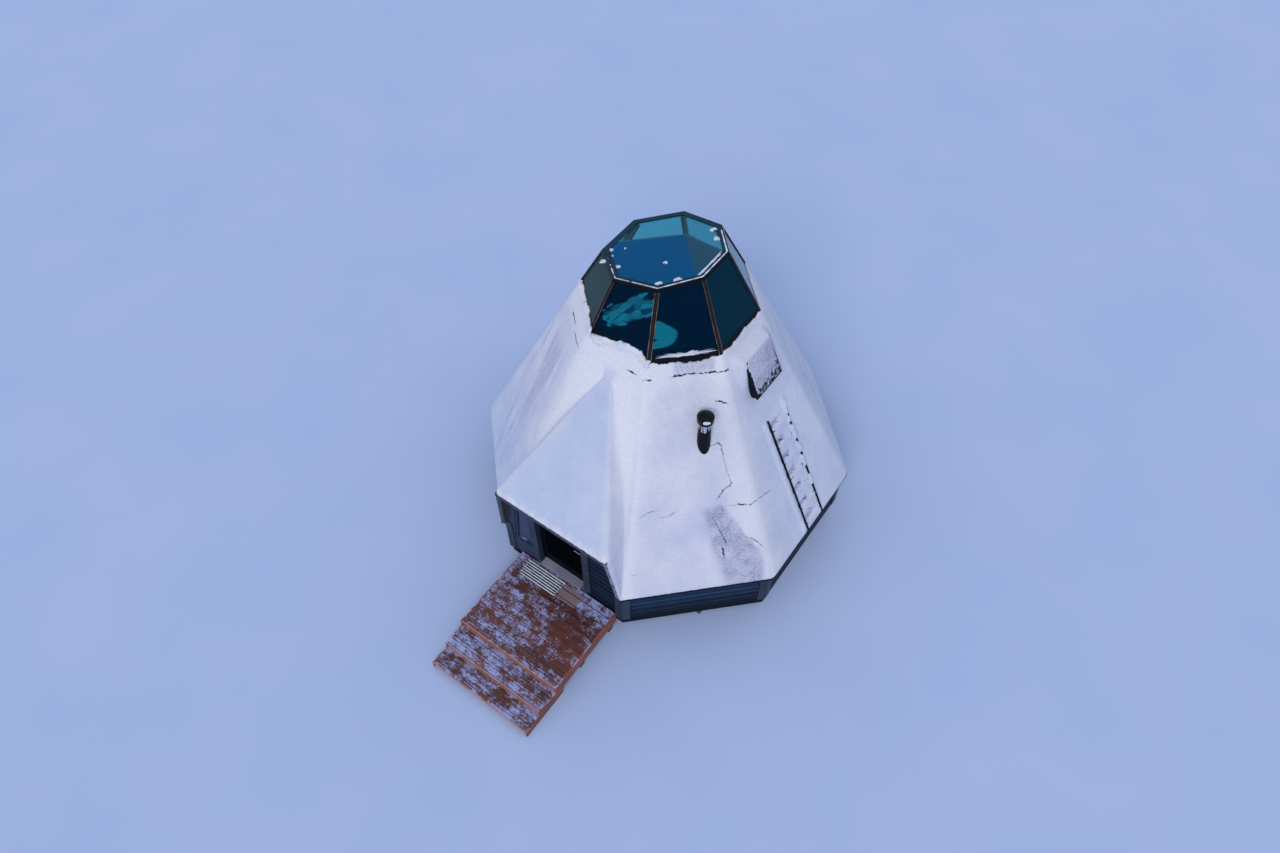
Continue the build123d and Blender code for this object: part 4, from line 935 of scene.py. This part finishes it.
# each plank holds a little more or less frost than the next, and the steps hold more
plank = node(tree, "Math MULTIPLY_ADD", y, 1 / plank_width, -house_side / plank_width)
plank = node(tree, "Math FLOOR", plank)
plank = node(tree, "TexWhiteNoise 1D", plank)
plank = node(tree, "MapRange", plank, To_Min=-0.03, To_Max=0.03)
trodden = node(tree, "Math ADD", plank, trodden)
on_steps = node(tree, "MapRange", y, deck_edge - 0.01, deck_edge, 0.035, 0.0)
trodden = node(tree, "Math ADD", on_steps, trodden)
colour, amount = frosted(tree, colour, 4.0, 0.34, 0.17, 0.032, "#9AA7DE", trodden, 0.09, 1.3)
colour = node(tree, "Mix RGBA", gap, colour, linear("#180B09"))
# under the grate the wood is wet and darkened to navy by painted shade, and the front edge of each step is worn pale
grate_low, grate_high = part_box("boot_grate")
under_x = node(tree, "Math COMPARE", x, (grate_low.x + grate_high.x) / 2, (grate_high.x - grate_low.x) / 2 + 0.004)
under_y = node(tree, "Math COMPARE", y, (grate_low.y + grate_high.y) / 2, (grate_high.y - grate_low.y) / 2 + 0.004)
under_grate = node(tree, "Math MULTIPLY", under_x, under_y)
colour = node(tree, "Mix RGBA", under_grate, colour, linear("#14294A"))
for nosing in (deck_edge, middle_edge, low_edge):
    line = node(tree, "Math COMPARE", y, nosing + 0.009, 0.013)
    line = node(tree, "Math MULTIPLY", line, 0.6)
    colour = node(tree, "Mix RGBA", line, colour, linear("#B98A7C"))
rough = node(tree, "MapRange", amount, To_Min=0.35, To_Max=0.85)
finish(tree, shader, colour, rough, height, 0.002)
cover(wet_deck, "deck_planks")

# skirts and risers: the same larch, drier and more orange, because they stand upright
side_boards, tree, shader = new_material("oiled larch side boards", Roughness=0.5)
colour, height, edge = grain(tree, "#4A1F12", "#9A5232", "x", 0.5)
colour = frosted(tree, colour, 5.0, 0.35, 0.2, 0.03, "#A6A4CB")[0]
finish(tree, shader, colour, height=height, depth=0.002)
cover(side_boards, "deck_skirts", "step_risers")

# threshold: bare wood trodden pale, with frost in its grain
worn_sill, tree, shader = new_material("trodden larch threshold", Roughness=0.7)
colour, height, edge = grain(tree, "#565A6C", "#9699B0", "x", 0.5)
finish(tree, shader, colour, height=height, depth=0.002)
cover(worn_sill, "threshold")


# Boot grate in front of the door.
# Galvanised steel flats on edge: pale with the crystals of the zinc on top, and their sides darkened to navy as painted
# shade.
zinc, tree, shader = new_material("galvanised steel", Metallic=0.1, Roughness=0.45)
where = node(tree, "TexCoord").node.outputs
spangle = node(tree, "TexVoronoi", where["Object"], 1 / 0.012, out="Color")
spangle = node(tree, "SeparateXYZ", spangle)
colour = node(tree, "Mix RGBA", spangle, linear("#D2DCEC"), linear("#F4F8FE"))
# painted shade: the sides of the flats, which face sideways, are dark navy
up = node(tree, "SeparateXYZ", where["Normal"], out=2)
up = node(tree, "MapRange", up, 0.3, 0.8)
colour = node(tree, "Mix RGBA", up, linear("#152B46"), colour)
finish(tree, shader, colour, height=spangle, depth=0.0002)
cover(zinc, "boot_grate")


# Snow heaps on the hatch, the rungs and the panes.
# Small heaps of the same snow, each one domed over a ragged outline on the face that it lies on.

def heap(place, half_width, half_height, thick, square=2.0, ragged=0.12, seed=0, rings=10, spokes=72):
    """Two stacked discs of points on a place's centre and its two directions. The outline is a superellipse times a
    ripple, and the top rises over it by the square root of 1 less the ring's share to the fourth, times the thickness.
    The bottom lies just under the face. Gives the points, the faces of four corners and those of three."""
    sunk_rim, sunk = 0.002, 0.004
    centre, right, up = (np.array(part, float) for part in place)
    out = np.cross(right, up)
    angle = np.linspace(0, 2 * math.pi, spokes, endpoint=False)
    c, s = np.cos(angle), np.sin(angle)
    edge = (abs(c) ** square + abs(s) ** square) ** (-1 / square)
    rim_at = np.stack([c * edge * half_width, s * edge * half_height, 0 * c], -1)
    edge = edge * (1 + ragged * ripple(rim_at + seed, 0.05, 31) + 0.5 * ragged * ripple(rim_at + seed, 0.02, 32))
    share = np.linspace(0, 1, rings + 1)[1:, None]
    across, along = share * (c * edge * half_width), share * (s * edge * half_height)
    flat = centre + across[..., None] * right + along[..., None] * up
    rise = thick * np.sqrt(np.clip(1 - share ** 4, 0, 1)) * (1 + 0.35 * ripple(flat, 0.06, 33))
    top = flat + (rise - sunk_rim)[..., None] * out
    low = flat - sunk * out
    points = np.concatenate([[centre + thick * out], top.reshape(-1, 3), [centre - sunk * out], low.reshape(-1, 3)])
    grid = 1 + np.arange(rings * spokes).reshape(rings, spokes)
    follow = np.roll(grid, -1, 1)
    under = 1 + rings * spokes
    fan = np.stack([np.zeros(spokes, int), grid[0], follow[0]], -1)
    rings_up = np.stack([grid[:-1], grid[1:], follow[1:], follow[:-1]], -1).reshape(-1, 4)
    rim_wall = np.stack([grid[-1], grid[-1] + under, follow[-1] + under, follow[-1]], -1)
    return points, np.concatenate([rings_up, rings_up[:, ::-1] + under, rim_wall]), np.concatenate(
        [fan, fan[:, ::-1] + under])


def add_heaps(name, heaps, thin=None, fresh=0.0):
    """Joins heaps to one piece. The function thin gives how worn the snow is at its points, and the last value how blue
    its painted shade is, or below 0 how bright its painted light is.
    """
    firsts = np.cumsum([0] + [len(points) for points, quads, fans in heaps])
    faces = [part + first for (points, *parts), first in zip(heaps, firsts) for part in parts]
    points = np.concatenate([points for points, quads, fans in heaps])
    none = 0 * points[:, 0]
    reads = {"worn": thin(points) if thin else none, "crack": 1 + none, "fresh": fresh + none}
    add_piece(name, points, faces, snow, reads)


def thin_at_foot(points):
    """Worn towards the hatch's lower and right edges, where the wind takes the snow off the warm pane."""
    across, up = on_side(points, 0)[:2]
    low = 1 - smooth(up, hatch_low + 0.02, hatch_low + 0.36)
    right_edge = smooth(across - 0.5 * (hatch_high - up), hatch_right - 0.5, hatch_right + 0.02)
    return np.clip(0.72 + 1.1 * low + 1.1 * right_edge * (1 - smooth(up, hatch_high - 0.25, hatch_high)), 0, 1.9)


# on the hatch: one even cover, nearly square
hatch_top = 0.148
hatch_middle = (hatch_left + hatch_right) / 2 + 0.02, (hatch_low + hatch_high) / 2 + 0.01
# the hatch's snow takes a little bluer painted shade
add_heaps("hatch_snow", [heap(side_place(0, *hatch_middle, hatch_top), 0.315, 0.325, 0.018, 9.0, 0.05, 3.0, 24, 160)],
          thin_at_foot, 0.2)

# on the ladder: a long heap over each rung
rung_across, rung_top, rung_count = 0.075, 0.036, 7
heaps = [heap(side_place(0, rung_across, rung_first + row * rung_pitch - 0.005, rung_top), 0.215, 0.055, 0.030, 3.0,
              0.35, row * 1.7, 8, 48) for row in range(rung_count)]
# the rung heaps take the bluer painted shade of the right side
add_heaps("rung_snow", heaps, fresh=0.45)

# on the chimney's cap: a crescent blown to one side
cap_low, cap_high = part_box("chimney_cap")
cap_centre = (cap_low.x + cap_high.x) / 2 + 0.072, (cap_low.y + cap_high.y) / 2 - 0.090, cap_high.z - 0.055
cap_place = cap_centre, (0.78, 0.62, 0), (-0.40, 0.50, 0.77)
add_heaps("cap_snow", [heap(cap_place, 0.05, 0.026, 0.022, 2.0, 0.2, 4.0, 6, 32)])

# at the foot of the dome: lumps along a line that is given by places across a side and levels up it
foot_lines = {-90: ([-0.50, -0.28, 0.05, 0.29, 0.47], [3.90, 3.88, 4.00, 3.99, 3.94]),
              -135: ([-0.47, -0.20, 0.25, 0.55], [3.93, 3.91, 4.01, 3.97])}
heaps = []
for degrees, (places, levels) in foot_lines.items():
    for number, across in enumerate(np.linspace(places[0], places[-1], 14)):
        size = 0.042 + 0.018 * math.sin(5.1 * number + degrees)
        place = side_place(degrees, across, np.interp(across, places, levels) - 0.03, 0.03)
        heaps.append(heap(place, 1.2 * size, size, 0.55 * size, 2.0, 0.5, number + degrees, 6, 32))
# the lumps at the dome's foot take a little painted light
add_heaps("foot_snow", heaps, fresh=-0.1)

# on the grate: rime along the top of every flat
flats, flat_width, flat_half = 7, 0.008, 0.366
flat_places = np.linspace(grate_low.y + flat_width / 2, grate_high.y - flat_width / 2, flats)
heaps = [heap((((grate_low.x + grate_high.x) / 2, y, grate_high.z), (1, 0, 0), (0, 1, 0)), flat_half, 0.0105, 0.006,
              8.0, 0.2, 10 * y, 4, 96) for y in flat_places]
add_heaps("grate_rime", heaps)

# on the dome's right front pane: a strip along its foot
pane_out = 0.015
add_heaps("pane_snow", [heap(side_place(-45, 0.03, 3.99, pane_out), 0.36, 0.024, 0.014, 3.0, 0.9, 5.0, 6, 160)])

# on the top pane: a drift along its right edge, and crumbs blown to its rim, each of three lumps
top_low, top_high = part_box("cupola_top_pane")
top_tilt = math.atan2(0.2035, 1)
crumbs = [(0.25, -0.64, 0.055), (0.44, -0.48, 0.06), (0.085, -0.24, 0.04), (-0.46, -0.59, 0.045),
          (-0.655, -0.50, 0.04), (-0.69, -0.42, 0.035), (-0.80, -0.33, 0.05), (0.26, 0.67, 0.055), (0.43, 0.50, 0.05),
          (-0.62, -0.22, 0.025), (-0.72, -0.57, 0.045), (-0.87, -0.26, 0.03)]


def top_place(x, y):
    """Place on the top pane's upper face above that point of the plan, with the directions level and down its slope."""
    return ((x, y, top_high.z - (top_high.x - x) * math.tan(top_tilt)), (0, 1, 0),
            (-math.cos(top_tilt), 0, -math.sin(top_tilt)))


heaps = []
for x, y, size in crumbs:
    for part, share in enumerate((0.75, 0.55, 0.45)):
        turn_by = 2.1 * part + 40 * size
        aside, along = 0.55 * size * math.cos(turn_by) * min(part, 1), 0.8 * size * math.sin(turn_by) * min(part, 1)
        heaps.append(heap(top_place(x + aside, y + along), share * size * 1.2, share * size, 0.3 * share * size, 2.0,
                          0.7, 9 * size + part, 6, 32))
heaps.append(heap(top_place(0.655, 0.0), 0.31, 0.024, 0.02, 3.5, 0.3, 2.0, 6, 120))
add_heaps("top_snow", heaps)

# rime on the outer edge of the top ring, on the five edges that the wind meets: a half-round bead along the edge
ring_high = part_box("cupola_top_frame")[1]
bead = 0.011


def bead_along(corners, radius):
    """Half-round profile carried along the corners, thinner at its ends: radius times the cosine and the sine of the
    turn, across the edge and upwards, with the ends drawn in to nothing."""
    turn = np.linspace(0, 2 * math.pi, 9)[:-1]
    runs = [np.linspace(0, 1, 40)[:, None] * (b - a) + a for a, b in zip(corners[:-1], corners[1:])]
    path = np.concatenate(runs)
    step = np.gradient(path, axis=0)
    step = step / np.linalg.norm(step, axis=-1, keepdims=True)
    upward = np.cross(np.cross(step, (0, 0, 1)), step)
    upward = upward / np.linalg.norm(upward, axis=-1, keepdims=True)
    side = np.cross(step, upward)
    share = np.linspace(0, 1, len(path))
    size = radius * (1 + 0.4 * ripple(path, 0.05, 41)) * np.minimum(1, np.minimum(share, 1 - share) * 20 + 0.02)
    round_it = np.cos(turn)[None, :, None] * side[:, None] + 0.5 * np.sin(turn)[None, :, None] * upward[:, None]
    return path[:, None] + round_it * size[:, None, None]


def ring_corner(number):
    """Outer corner of the top ring: where the hip meets the tilted plane of the ring's upper face, found by stepping
    the height until the plane's height over that place is the same."""
    height = ring_high.z
    for _ in range(30):
        x, y = hip(number)(np.array(height + 0.0))
        height = ring_high.z - (ring_high.x - x * 1.01) * math.tan(top_tilt)
    return np.array([x, y, height])


corners = [ring_corner(number) for number in (4, 5, 6, 7, 8, 9)]
bead_points = bead_along(corners, bead)
grid = np.arange(bead_points[..., 0].size).reshape(bead_points.shape[:2])
ahead = np.roll(grid, -1, 1)
sides = np.stack([grid[:-1], ahead[:-1], ahead[1:], grid[1:]], -1).reshape(-1, 4)

# rime: matt crystals, white with grey-blue hollows
rime_bead, tree, shader = new_material("rime on metal", Roughness=0.6)
place = node(tree, "TexCoord", out="Object")
ice = node(tree, "TexNoise", place, 1 / 0.03, 4.0)
colour = node(tree, "Mix RGBA", ice, linear("#B4BDD6"), linear("#EEF1FA"))
finish(tree, shader, colour, height=ice, depth=0.003)
add_piece("top_ring_rime", bead_points, [sides], rime_bead)


# Studio: a pale floor, soft light from the sky and a low sun behind cloud, and the camera.
# The camera stands where the photograph was taken, 14.5 m up and looking steeply down at the house.
half = 60.0
floor_mesh = bpy.data.meshes.new("studio_floor")
floor_mesh.from_pydata([(-half, -half, 0), (half, -half, 0), (half, half, 0), (-half, half, 0)], [], [(0, 1, 2, 3)])
studio_floor = bpy.data.objects.new("studio_floor", floor_mesh)
bpy.context.scene.collection.objects.link(studio_floor)
pale_floor, tree, shader = new_material("pale studio floor", Roughness=0.9, Specular_IOR_Level=0.1)
place = node(tree, "TexCoord", out="Object")
tone = node(tree, "TexNoise", place, 0.4, 2.0)
colour = node(tree, "Mix RGBA", tone, linear("#A7BDE8"), linear("#B4C7EE"))
finish(tree, shader, colour)
floor_mesh.materials.append(pale_floor)
studio_floor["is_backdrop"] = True

sky_colour, sky_level = "#DDE5F5", 0.79
backdrop_colour = "#C9D5EE"
world = bpy.data.worlds.new("studio sky")
bpy.context.scene.world = world
world.use_nodes = True
tree = world.node_tree
tree.nodes.clear()
rays = node(tree, "LightPath").node.outputs
seen = node(tree, "Math MAXIMUM", rays["Is Camera Ray"], rays["Is Glossy Ray"])
seen = node(tree, "Math MAXIMUM", seen, rays["Is Transmission Ray"])
sky = node(tree, "Background", linear(sky_colour), sky_level)
backdrop = node(tree, "Background", linear(backdrop_colour), 1.0)
both = node(tree, "MixShader", seen, sky, backdrop)
node(tree, "OutputWorld", both)

sun_turn, sun_height, sun_strength = math.radians(-70), math.radians(38), 1.15
sun = bpy.data.objects.new("low sun", bpy.data.lights.new("low sun", "SUN"))
sun.data.energy = sun_strength
sun.data.angle = math.radians(25)
sun.data.color = linear("#FFF4EA")[:3]
sunward = Vector((math.cos(sun_turn) * math.cos(sun_height), math.sin(sun_turn) * math.cos(sun_height),
                  math.sin(sun_height)))
sun.rotation_euler = sunward.to_track_quat("Z", "Y").to_euler()
bpy.context.scene.collection.objects.link(sun)

camera_place = Vector((5.345, -8.102, 14.498))
yaw, tilt, roll = math.radians(-35.924), math.radians(53.201), math.radians(-0.066)
lens, sensor = 26.624, 36.0
look = Vector((math.sin(yaw) * math.cos(tilt), math.cos(yaw) * math.cos(tilt), -math.sin(tilt)))
right = Vector((math.cos(yaw), -math.sin(yaw), 0))
above = right.cross(look)
camera = bpy.data.objects.new("camera", bpy.data.cameras.new("camera"))
camera.data.lens = lens
camera.data.sensor_width = sensor
camera.data.clip_end = 200.0
turned = Matrix((right * math.cos(roll) + above * math.sin(roll), above * math.cos(roll) - right * math.sin(roll),
                 -look)).transposed()
camera.matrix_world = Matrix.Translation(camera_place) @ turned.to_4x4()
bpy.context.scene.collection.objects.link(camera)
bpy.context.scene.camera = camera
bpy.context.scene.view_settings.view_transform = "Standard"

low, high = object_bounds()
{"cad": [list(cad_low), list(cad_high)], "visual": [list(low), list(high)]}
